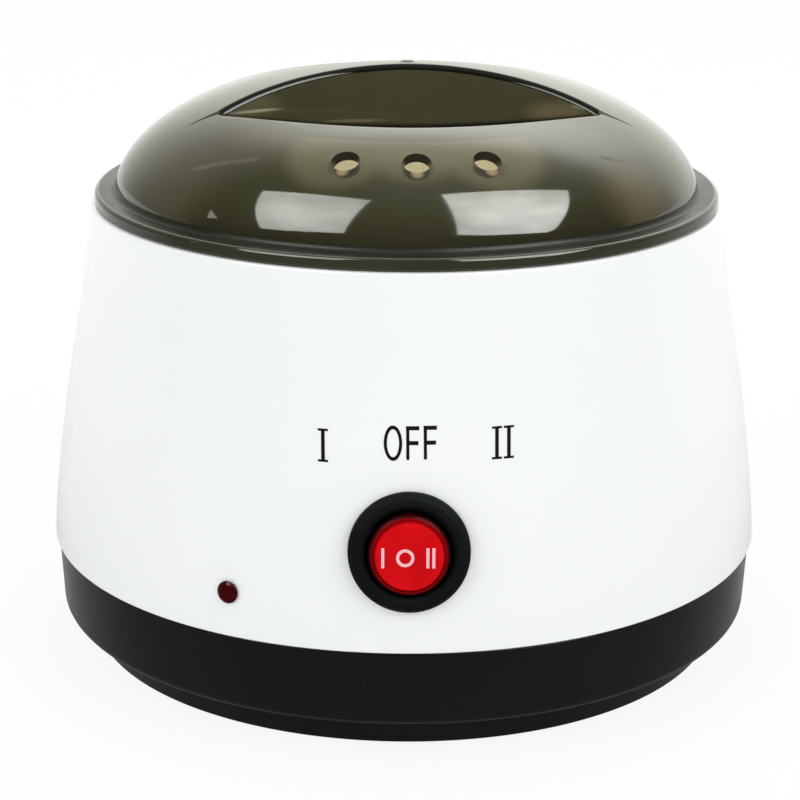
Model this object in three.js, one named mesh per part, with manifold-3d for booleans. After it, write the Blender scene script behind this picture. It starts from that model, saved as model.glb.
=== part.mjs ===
// Table-top wax warmer: a white conical housing on a black base, with an aluminium heating well, a lift-out
// pot with a wire bail, a smoked lid with two finger scoops, and a round three-position rocker switch.
// Sizes are in millimetres and +Z is up. The front, with the switch, faces -Y. The origin is the middle of
// the surface that the feet stand on.
import * as THREE from 'three';
import { mergeVertices } from 'three/addons/utils/BufferGeometryUtils.js';
import Module from 'manifold-3d';

const wasm = await Module();
wasm.setup();

// Clearances and cutting allowances shared by all pieces
const seatGap = 0.3; // between two faces that rest on each other
const boreGap = 0.4; // round a pin, a screw or a neck in its hole, on the radius
const overrun = 1; // how far a cutting tool passes the face that it opens
const mergeDistance = 1e-4;

// Facets round a full turn
const shellSides = 40;
const potSides = 28;
const roundSides = 12;
const bezelSides = 20;
const smallSides = 8;
const wireSides = 6;

// White housing
const seamHeight = 23; // where the white housing meets the black base
const seamRadius = 75;
const shoulderInset = 9.7; // how far the shoulder under the lid lies inside the seam
const housingHeight = 71;
const housingWall = 2.2;
const rimWidth = 2.2; // the top edge that the lid's flange rests on
const lipDrop = 1.6; // how far the inner lip lies below the top edge
const lipThickness = 2.4;
const lipWidth = 5.7;
// The side's curve from the seam to the shoulder, as shares: how far in, how far up
const housingSideShares = [[0, 0], [0.08, 0.14], [0.35, 0.42], [0.71, 0.7], [0.86, 0.85], [1, 1]];

// Black base
const seamLine = 0.3; // dark gap between the housing's lower edge and the band
const bandInset = 0.7; // the band's upper edge inside the seam
const bandDraft = 0.8; // how much the band narrows down to its lower corner
const bandBottom = 7.1;
const bandRound = 2.3;
const baseWall = 2.6;
const undercut = 5.5; // how far the foot ring's root lies inside the band
const footRingDraft = 1;
const footRingBottom = 0.9;
const footRingWidth = 2.3;
const floorBottom = 3.6;
const floorThickness = 2.2;
const locatingRimHeight = 4.5; // the rim that stands inside the housing
const locatingRimWall = 1.9;
const ventCount = 8;
const ventInnerRadius = 26;
const ventLength = 18;
const ventWidth = 3;

// Rubber feet
const footInset = 19; // the feet's circle inside the seam
const footAzimuths = [30, 150, 210, 330];
const footRadius = 5.5;
const footRecess = 0.8;
const footChamfer = 0.5;

// Screws that hold the base to the housing
const screwInset = 15; // the screws' circle inside the seam
const screwAzimuths = [60, 120, 240, 300];
const screwRadius = 1.5;
const screwHeadRadius = 3;
const screwHeadHeight = 2.2;
const screwLength = 17;
const cupRadius = 5.5;
const cupHeight = 6.3; // above the base's floor
const cupWeb = 3.2; // material that the screw's head pulls on
const bossRadius = 4.5;
const bossHeight = 27;
const bossRibThickness = 2.2;
const bossRibHeight = 10;

// Heating well
const wellTaper = 8.2; // how much the well narrows from its mouth to its floor
const wellUnderRoom = 11.5; // how much less deep the well is than the housing is high
const wellBend = 13;
const wellSheet = 1.2;
const wellMouthBend = 2;
const wellGap = 1; // between the well and the edge of the housing's lip
const wellFlangeWidth = 3.2; // on the housing's lip
const studRadius = 2;
const studLength = 12;

// Lift-out pot
const potGap = 1;
const potFloorGap = 0.6;
const potSheet = 0.9;
const beadRadius = 1.5;
const earThickness = 1.5;
const earRadius = 3;

// Wire bail
const bailWireRadius = 1.2;
const bailPinLength = 4.4;
const bailGap = 0.9; // between the bail and the ear
const bailSteps = 20;

// Lid
const lidSeatGap = 0.1;
const lidTurn = 1.5; // degrees, how far the lid is turned in its seat
const lidSetback = 0.8; // the flange's edge inside the housing's shoulder
const lidFlangeThickness = 2.4;
const lidWall = 2;
const domeInset = 4.5; // the dome's widest circle inside the housing's shoulder
const domeRise = 28.8;
const domeSink = 1.1; // the dome's widest circle below the flange's underside
const domeRiseExponent = 2.21;
const domeRadiusExponent = 1.88;
const domeTangentStep = 1e-3; // share of the rise over which the dome's slope is taken
const domeCrowding = 1.5; // above 1, the profile's points crowd towards the top
const domeFillet = 1.4;
const lidRimWidth = 1.5; // locating rim inside the housing's top edge
const lidRimDepth = 1.1;
const lidRimGap = 0.6;
const nubRadius = 1.5;
const nubHeight = 0.3;
const ventHoleRadius = 2.5;
const ventHoleShare = 0.7944; // of the dome's radius
const ventHoleAzimuths = [-16, 0, 16];

// Finger scoops in the lid, which leave the grip between them
const gripHalfWidth = 3;
const gripSideRadius = 66; // plan radius of the grip's side walls
const scoopReachShare = 0.6316; // of the dome's radius, from the lid's axis to the scoop's front edge
const scoopLengthShare = 0.796; // of the dome's radius, from the middle to the scoop's tip
const scoopLengthExponent = 2;
const scoopReachExponent = 1.3;
const scoopDepthShare = 0.6528; // of the dome's rise, from its top to the scoop's floor
const scoopRound = 2.5;
const scoopDraft = 8; // degrees
const scoopPoints = 12;
const scoopRoundSteps = 3;
const halvings = 40; // of the search for the scoop's tip

// Heater band round the well, its clamp, and the strap that holds the well down
const heaterLiftShare = 0.3294; // of the well's depth, from its floor to the heater
const heaterHeightShare = 0.4034; // of the well's depth
const heaterThickness = 1.8;
const heaterSplit = 16;
const lugWidth = 5;
const lugHeight = 7;
const lugThickness = 2;
const lugAzimuth = 14; // of the two lugs near the switch
const commonLugAzimuth = 50;
const clampHeight = 8;
const clampThickness = 0.8;
const clampSplit = 10;
const clampEarLength = 7;
const clampEarThickness = 1.2;
const clampBoltRadius = 1.5;
const clampBoltHeadRadius = 2.8;
const clampBoltHeadHeight = 2;
const strapWidth = 14;
const strapThickness = 1.5;
const strapDrop = 4.5; // below the well
const strapScrewRadius = 1.4;
const strapScrewLength = 11;
const strapBossRadius = 4;
const strapBossHeight = 15;
const nutAcrossFlats = 7;
const nutHeight = 3.2;

// Thermostat and thermal fuse under the well
const thermostatRoom = 4.5; // between the thermostat's bracket and the strap
const thermostatCapRadius = 8;
const thermostatCapHeight = 4;
const thermostatBodyRadius = 7;
const thermostatBodyHeight = 6;
const tabWidth = 4.8;
const tabThickness = 0.8;
const tabLength = 7;
const tabPitch = 4;
const bracketMargin = 4; // beyond the studs' axes
const bracketWidth = 17;
const bracketThickness = 0.8;
const smallStudSpacing = 13; // from the thermostat's axis
const smallStudRadius = 1.3;
const smallStudLength = 8;
const smallNutAcrossFlats = 5.5;
const smallNutHeight = 1.8;
const fuseShare = 0.4468; // of the well's floor radius, from the axis to the fuse
const fuseRadius = 2;
const fuseLength = 12;
const fuseLeadRadius = 0.5;
const fuseLeadLength = 5;
const clipWall = 0.7;
const clipWidth = 6;
const clipFlangeLength = 9;

// Rocker switch, measured along its own axis from the housing's outer surface
const switchHeightShare = 0.27746; // of the housing's height, above the seam
const switchTilt = 7.4; // degrees, the housing's slope there
const bezelRadius = 11.4;
const bezelFront = 2.1;
const bezelSeat = 0.9; // depth of the flat spot that the bezel sits in
const bezelRound = 1.3;
const bezelDish = 0.6;
const barrelRadius = 9.8;
const barrelDepth = 13;
const cavityRadius = 8.3;
const cavityDepth = 5.2;
const rockerRadius = 7.6;
const rockerFaceRadius = 6.65;
const rockerFront = 4;
const rockerShoulder = 3;
const rockerBack = 3.4;
const rockerGroove = 0.35;
const pivotDepth = 1.2;
const trunnionRadius = 1;
const trunnionReach = 8.9;
const switchTabSpacing = 5.4;
const switchTabLength = 6.4;

// Indicator lamp
const lampAzimuth = -27.3;
const lampHeightShare = 0.12507; // of the housing's height, above the seam
const lampTilt = 4;
const lampRadius = 2.2;
const lampDome = 1.1;
const lampNeckRadius = 1.6;
const lampNeckLength = 6;
const lampSleeveRadius = 3.2;
const lampSleeveLength = 9;

// Cable gland in the back of the base
const glandDrop = 7.2; // below the seam
const glandFlangeRadius = 6.2;
const glandFlangeLength = 3.6;
const glandNeckRadius = 4.9;
const glandBoreRadius = 3.4;
const glandCollarLength = 2.5;
const glandCollarRadius = 5.6;
const glandSlip = 0.2;

// Terminal block on the base's floor
const blockInset = 31; // the block's middle inside the seam
const blockMargin = 6; // beyond the outer poles' axes
const blockWidth = 16;
const blockHeight = 10;
const blockPitch = 9;
const blockEntryRadius = 1.6;
const blockScrewWell = 1.9;
const blockWellDepth = 3;
const padHeight = 4;
const blockScrewRadius = 1.2;
const blockScrewHeadRadius = 2.2;
const blockScrewHeadHeight = 1.5;
const blockScrewBite = 4.5;

// Internal wires
const wireRadius = 0.9;
const wireSteps = 11;
// Points that the wires pass: shares of the seam's radius along X and Y, and of the way from the base's floor
// up to the well
const liveShares = [[0.107, -0.56, 0.445], [0.32, -0.4, 0.135], [0.44, -0.08, 0.117], [0.36, 0.187, 0.19]];
const commonShares = [[0.533, -0.44, 1.029], [0.373, -0.413, 0.628], [0.16, -0.333, 0.226]];
const fuseShares = [[-0.213, -0.16, 0.19], [-0.347, 0.053, 0.372], [-0.32, 0.24, 0.774]];
const neutralShares = [[0.253, 0.32, 0.664], [0.053, 0.32, 0.409]];
const lampShares = [[-0.453, -0.347, 0.299], [-0.4, 0, 0.117], [-0.16, 0.213, 0.099]];

// Sizes and places worked out from those above
const shoulderRadius = seamRadius - shoulderInset;
const housingTop = seamHeight + housingHeight;
const lipTop = housingTop - lipDrop;
const lipBottom = lipTop - lipThickness;
const recessRadius = shoulderRadius - rimWidth;
const lipHoleRadius = recessRadius - lipWidth;
const bandTopRadius = seamRadius - bandInset;
const bandRadius = bandTopRadius - bandDraft;
const undercutRadius = bandRadius - undercut;
const footRingRadius = undercutRadius - footRingDraft;
const footCircle = seamRadius - footInset;
const screwCircle = seamRadius - screwInset;
const glandHeight = seamHeight - glandDrop;
const wellMouthRadius = lipHoleRadius - wellGap - wellSheet;
const wellFloorRadius = wellMouthRadius - wellTaper;
const wellDepth = housingHeight - wellUnderRoom;
const switchHeight = switchHeightShare * housingHeight;
const lampHeight = lampHeightShare * housingHeight;
const thermostatOffset = (strapWidth + bracketWidth) / 2 + thermostatRoom;
const fuseOffset = fuseShare * wellFloorRadius;
const bracketLength = 2 * (smallStudSpacing + bracketMargin);
const blockOffset = seamRadius - blockInset;
const blockLength = 2 * (blockPitch + blockMargin);
const floorTop = floorBottom + floorThickness;
const bandTop = seamHeight - seamLine;
const wellTop = lipTop + seatGap + wellSheet;
const wellFloor = wellTop - wellDepth;
const wellBottom = wellFloor - wellSheet;
const wellFlangeRadius = lipHoleRadius + wellFlangeWidth;
const heaterBottom = wellFloor + heaterLiftShare * wellDepth;
const heaterHeight = heaterHeightShare * wellDepth;
const potMouthRadius = wellMouthRadius - potGap - potSheet;
const potFloorRadius = wellFloorRadius - potGap - potSheet;
const beadCentre = wellTop + seatGap + beadRadius;
const beadCircle = potMouthRadius + potSheet + beadRadius + seatGap;
const potFloor = wellFloor + potFloorGap + potSheet;
const earOuter = potMouthRadius + earThickness / 4;
const hingeHeight = beadCentre + beadRadius + seatGap + bailWireRadius;
const bailRadius = earOuter + bailGap + bailWireRadius;
const lidUnderside = housingTop + lidSeatGap;
const lidFlangeRadius = shoulderRadius - lidSetback;
const domeRadius = shoulderRadius - domeInset;
const scoopReach = scoopReachShare * domeRadius;
const scoopHalfLength = scoopLengthShare * domeRadius;
const domeBase = lidUnderside - domeSink;
const domeTop = domeBase + domeRise;
const scoopFloor = domeTop - scoopDepthShare * domeRise;
const strapTop = wellBottom - strapDrop;
const cupTop = floorTop + cupHeight;
const bossBottom = cupTop + seatGap;
const screwSeat = cupTop - cupWeb;

const degrees = THREE.MathUtils.degToRad;

// Colours and surfaces
const whiteGloss = { color: 0xf3f5f5, roughness: 0.25, metalness: 0 };
const blackGloss = { color: 0x181b1b, roughness: 0.35, metalness: 0 };
const smokedClear = { color: 0x3a3828, roughness: 0.15, metalness: 0 };
const rubberBlack = { color: 0x141414, roughness: 0.9, metalness: 0 };
const spunAluminium = { color: 0xc8cacc, roughness: 0.35, metalness: 1 };
const zincSteel = { color: 0xa8abad, roughness: 0.4, metalness: 1 };
const brassPlate = { color: 0xc9a552, roughness: 0.35, metalness: 1 };
const micaBrown = { color: 0x8a7a5c, roughness: 0.8, metalness: 0 };
const nylonWhite = { color: 0xe4e2da, roughness: 0.6, metalness: 0 };
const rockerRed = { color: 0xcc0f16, roughness: 0.3, metalness: 0 };
const lampRed = { color: 0x5a0a10, roughness: 0.15, metalness: 0 };
const wireBlue = { color: 0x2a4d8f, roughness: 0.6, metalness: 0 };
const wireBrown = { color: 0x5b3a25, roughness: 0.6, metalness: 0 };
const wireRed = { color: 0x9b2020, roughness: 0.6, metalness: 0 };

// A closed geometry as a solid, turned right side out if its faces point in
function solid(geometry, matrix = new THREE.Matrix4()) {
  const bare = geometry.clone().applyMatrix4(matrix);
  bare.deleteAttribute('normal');
  bare.deleteAttribute('uv');
  const merged = mergeVertices(bare, mergeDistance);
  const triVerts = new Uint32Array(merged.index.array);
  const vertProperties = new Float32Array(merged.attributes.position.array);
  if (signedVolume(vertProperties, triVerts) < 0) {
    for (let i = 0; i < triVerts.length; i += 3) {
      [triVerts[i], triVerts[i + 1]] = [triVerts[i + 1], triVerts[i]];
    }
  }
  return new wasm.Manifold(new wasm.Mesh({ numProp: 3, vertProperties, triVerts }));
}

function signedVolume(vertices, triangles) {
  const a = new THREE.Vector3();
  const b = new THREE.Vector3();
  const c = new THREE.Vector3();
  let sum = 0;
  for (let i = 0; i < triangles.length; i += 3) {
    a.fromArray(vertices, 3 * triangles[i]);
    b.fromArray(vertices, 3 * triangles[i + 1]);
    c.fromArray(vertices, 3 * triangles[i + 2]);
    sum += a.dot(b.cross(c));
  }
  return sum;
}

function toGeometry(body) {
  const mesh = body.getMesh();
  const geometry = new THREE.BufferGeometry();
  geometry.setAttribute('position', new THREE.BufferAttribute(new Float32Array(mesh.vertProperties), 3));
  geometry.setIndex(new THREE.BufferAttribute(new Uint32Array(mesh.triVerts), 1));
  return geometry;
}

function cutAll(body, tools) {
  return tools.reduce((rest, tool) => rest.subtract(tool), body);
}

function joinAll(bodies) {
  return bodies.reduce((sum, body) => sum.add(body));
}

// A profile of [radius, height] points turned round +Z
function turned(points, sides) {
  const outline = points.map(([r, z]) => new THREE.Vector2(r, z));
  const onAxis = ([r]) => r === 0;
  if (!onAxis(points[0]) || !onAxis(points[points.length - 1])) {
    outline.push(outline[0].clone());
  }
  return solid(new THREE.LatheGeometry(outline, sides), new THREE.Matrix4().makeRotationX(Math.PI / 2));
}

// Points of an arc about (r, z), from one angle to another in degrees
function arc(r, z, radius, from, to, steps) {
  return Array.from({ length: steps + 1 }, (_, i) => {
    const angle = degrees(from + (to - from) * (i / steps));
    return [r + radius * Math.cos(angle), z + radius * Math.sin(angle)];
  });
}

// An upright cylinder from one height to another
function post(radius, bottom, top, sides, x = 0, y = 0) {
  return turned([[0, bottom], [radius, bottom], [radius, top], [0, top]], sides).translate([x, y, 0]);
}

// A straight round rod between two points
function rod(radius, start, end, sides) {
  const from = new THREE.Vector3(...start);
  const along = new THREE.Vector3(...end).sub(from);
  const up = new THREE.Vector3(0, 1, 0);
  const turn = new THREE.Quaternion().setFromUnitVectors(up, along.clone().normalize());
  const middle = from.clone().addScaledVector(along, 1 / 2);
  const matrix = new THREE.Matrix4().compose(middle, turn, new THREE.Vector3(1, 1, 1));
  return solid(new THREE.CylinderGeometry(radius, radius, along.length(), sides), matrix);
}

// A box between two corners
function block(low, high) {
  const size = high.map((value, i) => value - low[i]);
  const centre = high.map((value, i) => (value + low[i]) / 2);
  return solid(new THREE.BoxGeometry(...size), new THREE.Matrix4().makeTranslation(...centre));
}

function hexagon(acrossFlats, bottom, top, x = 0, y = 0) {
  return post(acrossFlats / 2 / Math.cos(Math.PI / 6), bottom, top, 6, x, y);
}

// Azimuth 0 is the front, and it grows towards +X
function around(radius, azimuth) {
  return [radius * Math.sin(degrees(azimuth)), -radius * Math.cos(degrees(azimuth))];
}

const group = new THREE.Group();

function addPiece(name, body, look, parent = group) {
  const mesh = new THREE.Mesh(toGeometry(body), new THREE.MeshStandardMaterial(look));
  mesh.name = name;
  parent.add(mesh);
}

// A frame whose own +Z points out of the housing, at a height above the seam and an azimuth
function surfaceFrame(azimuth, height, tilt) {
  const frame = new THREE.Group();
  const [x, y] = around(housingRadiusAt(seamHeight + height), azimuth);
  frame.position.set(x, y, seamHeight + height);
  frame.rotation.order = 'ZYX';
  frame.rotation.set(degrees(90 - tilt), 0, degrees(azimuth));
  frame.updateMatrix();
  group.add(frame);
  return frame;
}

function inFrame(body, frame) {
  return body.transform(frame.matrix.elements);
}

// The housing's outer radius at a height
function housingRadiusAt(z) {
  const up = THREE.MathUtils.clamp((z - seamHeight) / housingHeight, 0, 1);
  const i = Math.max(1, housingSideShares.findIndex(([, share]) => share >= up));
  const [inBelow, upBelow] = housingSideShares[i - 1];
  const [inAbove, upAbove] = housingSideShares[i];
  const inward = inBelow + (inAbove - inBelow) * ((up - upBelow) / (upAbove - upBelow));
  return seamRadius - inward * (seamRadius - shoulderRadius);
}

const switchFrame = surfaceFrame(0, switchHeight, switchTilt);
const lampFrame = surfaceFrame(lampAzimuth, lampHeight, lampTilt);

// White housing

function housingProfile() {
  const heights = housingSideShares.map(([, share]) => seamHeight + share * housingHeight);
  const outside = heights.map((z) => [housingRadiusAt(z), z]);
  const insideHeights = [lipBottom, ...heights.filter((z) => z < lipBottom).reverse()];
  const inside = insideHeights.map((z) => [housingRadiusAt(z) - housingWall, z]);
  return [
    ...outside,
    [recessRadius, housingTop],
    [recessRadius, lipTop],
    [lipHoleRadius, lipTop],
    [lipHoleRadius, lipBottom],
    ...inside,
  ];
}

// A hanging boss with a rib to the housing's wall
function wallBoss(azimuth, circle, radius, bottom, height, boreRadius, boreDepth) {
  const top = bottom + height;
  const [x, y] = around(circle, azimuth);
  const reach = housingRadiusAt(top) - housingWall / 2;
  const ribBottom = Math.max(bottom, top - bossRibHeight);
  const rib = block([-bossRibThickness / 2, -reach, ribBottom], [bossRibThickness / 2, -circle, top]);
  const bore = post(boreRadius, bottom - overrun, bottom + boreDepth, smallSides, x, y);
  const body = post(radius, bottom, top, roundSides, x, y).add(rib.rotate([0, 0, azimuth]));
  return { body, bore };
}

function buildHousing() {
  const strapBossBottom = strapTop + seatGap;
  const screwBosses = screwAzimuths.map((azimuth) => wallBoss(azimuth, screwCircle, bossRadius, bossBottom,
    bossHeight, screwRadius + boreGap / 2, screwLength));
  const strapBosses = [90, -90].map((azimuth) => wallBoss(azimuth, screwCircle, strapBossRadius,
    strapBossBottom, strapBossHeight, strapScrewRadius + boreGap / 2, strapScrewLength + overrun));
  const bosses = [...screwBosses, ...strapBosses];
  const seatDepth = -bezelSeat - seatGap;
  const spot = post(bezelRadius + seatGap, seatDepth, bezelRadius, bezelSides);
  const opening = post(barrelRadius + boreGap, -bezelRadius, bezelRadius, bezelSides);
  const lampHole = post(lampNeckRadius + boreGap, -bezelRadius, bezelRadius, roundSides);
  const shell = turned(housingProfile(), shellSides);
  return cutAll(joinAll([shell, ...bosses.map(({ body }) => body)]), [
    ...bosses.map(({ bore }) => bore),
    inFrame(spot.add(opening), switchFrame),
    inFrame(lampHole, lampFrame),
  ]);
}

addPiece('upper_housing', buildHousing(), whiteGloss);

// Black base

function baseProfile() {
  const roundCentre = bandRadius - bandRound;
  const rimOuter = seamRadius - housingWall - boreGap;
  const rimInner = rimOuter - locatingRimWall;
  const ringInner = footRingRadius - footRingWidth;
  const shelf = bandBottom + floorThickness;
  return [
    [0, floorBottom],
    [ringInner, floorBottom],
    [ringInner, footRingBottom],
    [footRingRadius, footRingBottom],
    [undercutRadius, bandBottom],
    ...arc(roundCentre, bandBottom + bandRound, bandRound, -90, 0, 3),
    [bandTopRadius, bandTop],
    [rimOuter, bandTop],
    [rimOuter, bandTop + locatingRimHeight],
    [rimInner, bandTop + locatingRimHeight],
    [bandRadius - baseWall, shelf + bandRound / 2],
    [roundCentre, shelf],
    [undercutRadius - floorThickness, shelf],
    [undercutRadius - floorThickness, floorTop],
    [0, floorTop],
  ];
}

function glandFrame() {
  const frame = new THREE.Group();
  const up = (glandHeight - bandBottom) / (bandTop - bandBottom);
  const wallRadius = bandRadius + (bandTopRadius - bandRadius) * up;
  frame.position.set(0, wallRadius, glandHeight);
  frame.rotation.set(degrees(-90), 0, 0);
  frame.updateMatrix();
  group.add(frame);
  return frame;
}

const backFrame = glandFrame();

function buildBase() {
  const cups = screwAzimuths.map((azimuth) => post(cupRadius, floorTop - overrun, cupTop, roundSides,
    ...around(screwCircle, azimuth)));
  const pad = block([-blockLength / 2, blockOffset - blockWidth / 2, floorTop - overrun],
    [blockLength / 2, blockOffset + blockWidth / 2, floorTop + padHeight]);
  const screwWells = screwAzimuths.flatMap((azimuth) => {
    const place = around(screwCircle, azimuth);
    return [
      post(screwHeadRadius + boreGap, floorBottom - overrun, screwSeat, roundSides, ...place),
      post(screwRadius + boreGap, floorBottom, cupTop + overrun, smallSides, ...place),
    ];
  });
  const footWells = footAzimuths.map((azimuth) => post(footRadius + seatGap, floorBottom - overrun,
    floorBottom + footRecess, roundSides, ...around(footCircle, azimuth)));
  const slot = block([-ventWidth / 2, -ventInnerRadius - ventLength, floorBottom - overrun],
    [ventWidth / 2, -ventInnerRadius, floorTop + overrun]);
  const turn = 360 / ventCount;
  const slots = Array.from({ length: ventCount }, (_, i) => i * turn)
    .filter((azimuth) => Math.abs(azimuth - 180) > turn / 2)
    .map((azimuth) => slot.rotate([0, 0, azimuth]));
  const padBore = post(blockScrewRadius + boreGap / 2, floorTop + padHeight - blockScrewBite,
    floorTop + padHeight + overrun, smallSides, 0, blockOffset);
  const gland = inFrame(post(glandNeckRadius + glandSlip, -bandRadius / 4, overrun, roundSides), backFrame);
  const shell = turned(baseProfile(), shellSides);
  return cutAll(joinAll([shell, ...cups, pad]), [...screwWells, ...footWells, ...slots, padBore, gland]);
}

addPiece('base_shell', buildBase(), blackGloss);

footAzimuths.forEach((azimuth, i) => {
  const top = floorBottom + footRecess - seatGap;
  const foot = turned([
    [0, 0],
    [footRadius - footChamfer, 0],
    [footRadius, footChamfer],
    [footRadius, top],
    [0, top],
  ], roundSides).translate([...around(footCircle, azimuth), 0]);
  addPiece(`rubber_foot_${i + 1}`, foot, rubberBlack);
});

screwAzimuths.forEach((azimuth, i) => {
  const headTop = screwSeat - seatGap;
  const screw = turned([
    [0, headTop - screwHeadHeight],
    [screwHeadRadius * 3 / 4, headTop - screwHeadHeight],
    [screwHeadRadius, headTop - screwHeadHeight / 2],
    [screwHeadRadius, headTop],
    [screwRadius, headTop],
    [screwRadius, headTop + screwLength - screwRadius],
    [0, headTop + screwLength],
  ], smallSides).translate([...around(screwCircle, azimuth), 0]);
  addPiece(`base_screw_${i + 1}`, screw, zincSteel);
});

// Heating well and what is fixed to it

// The inside and outside of a drawn vessel from its floor's middle to its mouth
function vesselSide(mouthRadius, floorRadius, floor, bend, mouth, steps) {
  return [
    [0, floor],
    ...arc(floorRadius - bend, floor + bend, bend, -90, 0, steps),
    [mouthRadius, mouth],
  ];
}

function wellOuterRadiusAt(z) {
  const bendTop = wellBottom + wellBend + wellSheet;
  const share = (z - bendTop) / (wellTop - wellMouthBend - bendTop);
  return wellFloorRadius + wellSheet + share * (wellMouthRadius - wellFloorRadius);
}

const smallStuds = [
  [-smallStudSpacing, -thermostatOffset],
  [smallStudSpacing, -thermostatOffset],
  [0, fuseOffset + clipFlangeLength - 2 * smallStudRadius],
];

function buildWell() {
  const mouth = wellTop - wellMouthBend;
  const bendCentre = wellMouthRadius + wellMouthBend;
  const outside = vesselSide(wellMouthRadius + wellSheet, wellFloorRadius + wellSheet, wellBottom,
    wellBend + wellSheet, mouth, 3);
  const profile = [
    ...vesselSide(wellMouthRadius, wellFloorRadius, wellFloor, wellBend, mouth, 3),
    ...arc(bendCentre, mouth, wellMouthBend, 180, 90, 3).slice(1),
    [wellFlangeRadius, wellTop],
    [wellFlangeRadius, wellTop - wellSheet],
    ...arc(bendCentre, mouth, wellMouthBend - wellSheet, 90, 180, 2),
    ...outside.reverse().slice(1),
  ];
  const root = wellBottom + wellSheet / 2;
  const stud = post(studRadius, wellBottom - studLength, root, smallSides);
  const studs = smallStuds.map(([x, y]) => post(smallStudRadius, wellBottom - smallStudLength, root,
    smallSides, x, y));
  return joinAll([turned(profile, potSides), stud, ...studs]);
}

addPiece('heating_well', buildWell(), spunAluminium);

// A cone-shaped ring that follows the well's side at a distance
function sideRing(bottom, height, gap, thickness) {
  const top = bottom + height;
  const inner = (z) => wellOuterRadiusAt(z) + gap;
  return turned([
    [inner(bottom), bottom],
    [inner(bottom) + thickness, bottom],
    [inner(top) + thickness, top],
    [inner(top), top],
  ], potSides);
}

function splitAtBack(width) {
  return block([-width / 2, 0, 0], [width / 2, seamRadius, housingTop]);
}

// Where the heater's terminal lugs end, which the wires meet
function lugTip(azimuth) {
  const radius = wellOuterRadiusAt(heaterBottom) + seatGap + heaterThickness;
  return [...around(radius, azimuth), heaterBottom - lugHeight / 2];
}

function buildHeater() {
  const radius = wellOuterRadiusAt(heaterBottom) + seatGap + heaterThickness;
  const lug = block([-lugWidth / 2, -radius - lugThickness / 2, heaterBottom - lugHeight / 2],
    [lugWidth / 2, -radius + lugThickness / 2, heaterBottom + lugHeight / 2]);
  const lugs = [-lugAzimuth, lugAzimuth, commonLugAzimuth].map((azimuth) => lug.rotate([0, 0, azimuth]));
  const sleeve = sideRing(heaterBottom, heaterHeight, seatGap, heaterThickness);
  return joinAll([sleeve.subtract(splitAtBack(heaterSplit)), ...lugs]);
}

addPiece('heater_band', buildHeater(), micaBrown);

const clampMiddle = heaterBottom + heaterHeight / 2;
const clampGap = heaterThickness + 2 * seatGap;
const clampRoot = wellOuterRadiusAt(clampMiddle) + clampGap;
const clampBoltPlace = clampRoot + clampThickness + clampEarLength / 2;

function buildClamp() {
  const bottom = clampMiddle - clampHeight / 2;
  const ring = sideRing(bottom, clampHeight, clampGap, clampThickness).subtract(splitAtBack(clampSplit));
  const bolt = rod(clampBoltRadius + boreGap, [-seamRadius, clampBoltPlace, clampMiddle],
    [seamRadius, clampBoltPlace, clampMiddle], smallSides);
  const earEnd = clampRoot + clampThickness + clampEarLength;
  const ear = block([clampSplit / 2 - clampEarThickness / 2, clampRoot - clampThickness / 2, bottom],
    [clampSplit / 2 + clampEarThickness / 2, earEnd, bottom + clampHeight]);
  return joinAll([ring, ear, ear.mirror([1, 0, 0])]).subtract(bolt);
}

addPiece('heater_clamp', buildClamp(), zincSteel);

function buildClampBolt() {
  const seat = clampSplit / 2 + clampEarThickness / 2 + seatGap;
  const at = (x) => [x, clampBoltPlace, clampMiddle];
  const end = seat + clampBoltHeadHeight;
  return joinAll([
    rod(clampBoltRadius, at(-end), at(seat + overrun), smallSides),
    rod(clampBoltHeadRadius, at(seat), at(end), smallSides),
  ]);
}

addPiece('clamp_bolt', buildClampBolt(), zincSteel);

function buildStrap() {
  const half = screwCircle + strapWidth / 2;
  const bottom = strapTop - strapThickness;
  const bar = block([-half, -strapWidth / 2, bottom], [half, strapWidth / 2, strapTop]);
  const hole = (radius, x) => post(radius + boreGap, bottom - overrun, strapTop + overrun, smallSides, x);
  return cutAll(bar, [
    hole(studRadius, 0),
    hole(strapScrewRadius, screwCircle),
    hole(strapScrewRadius, -screwCircle),
  ]);
}

addPiece('well_strap', buildStrap(), zincSteel);

// A hexagon nut with its top face at a height
function nut(acrossFlats, height, boreRadius, top, x = 0, y = 0) {
  const bore = post(boreRadius, top - height - overrun, top + overrun, smallSides, x, y);
  return hexagon(acrossFlats, top - height, top, x, y).subtract(bore);
}

const strapSeat = strapTop - strapThickness - seatGap;
addPiece('well_nut', nut(nutAcrossFlats, nutHeight, studRadius + seatGap, strapSeat), zincSteel);

[screwCircle, -screwCircle].forEach((x, i) => {
  const head = post(screwHeadRadius, strapSeat - screwHeadHeight, strapSeat, smallSides, x);
  const shank = post(strapScrewRadius, strapSeat - overrun, strapSeat + strapScrewLength, smallSides, x);
  addPiece(`strap_screw_${i + 1}`, head.add(shank), zincSteel);
});

// Thermostat, its bracket and nuts

const capTop = wellBottom - seatGap;
const capBottom = capTop - thermostatCapHeight;
const thermostatBottom = capBottom - thermostatBodyHeight;

function buildThermostat() {
  const y = -thermostatOffset;
  const tab = block([-tabThickness / 2, y - tabWidth / 2, thermostatBottom - tabLength],
    [tabThickness / 2, y + tabWidth / 2, thermostatBottom + overrun]);
  return joinAll([
    post(thermostatCapRadius, capBottom, capTop, roundSides, 0, y),
    post(thermostatBodyRadius, thermostatBottom, capBottom + overrun, roundSides, 0, y),
    tab.translate([-tabPitch, 0, 0]),
    tab.translate([tabPitch, 0, 0]),
  ]);
}

addPiece('thermostat', buildThermostat(), spunAluminium);

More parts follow.
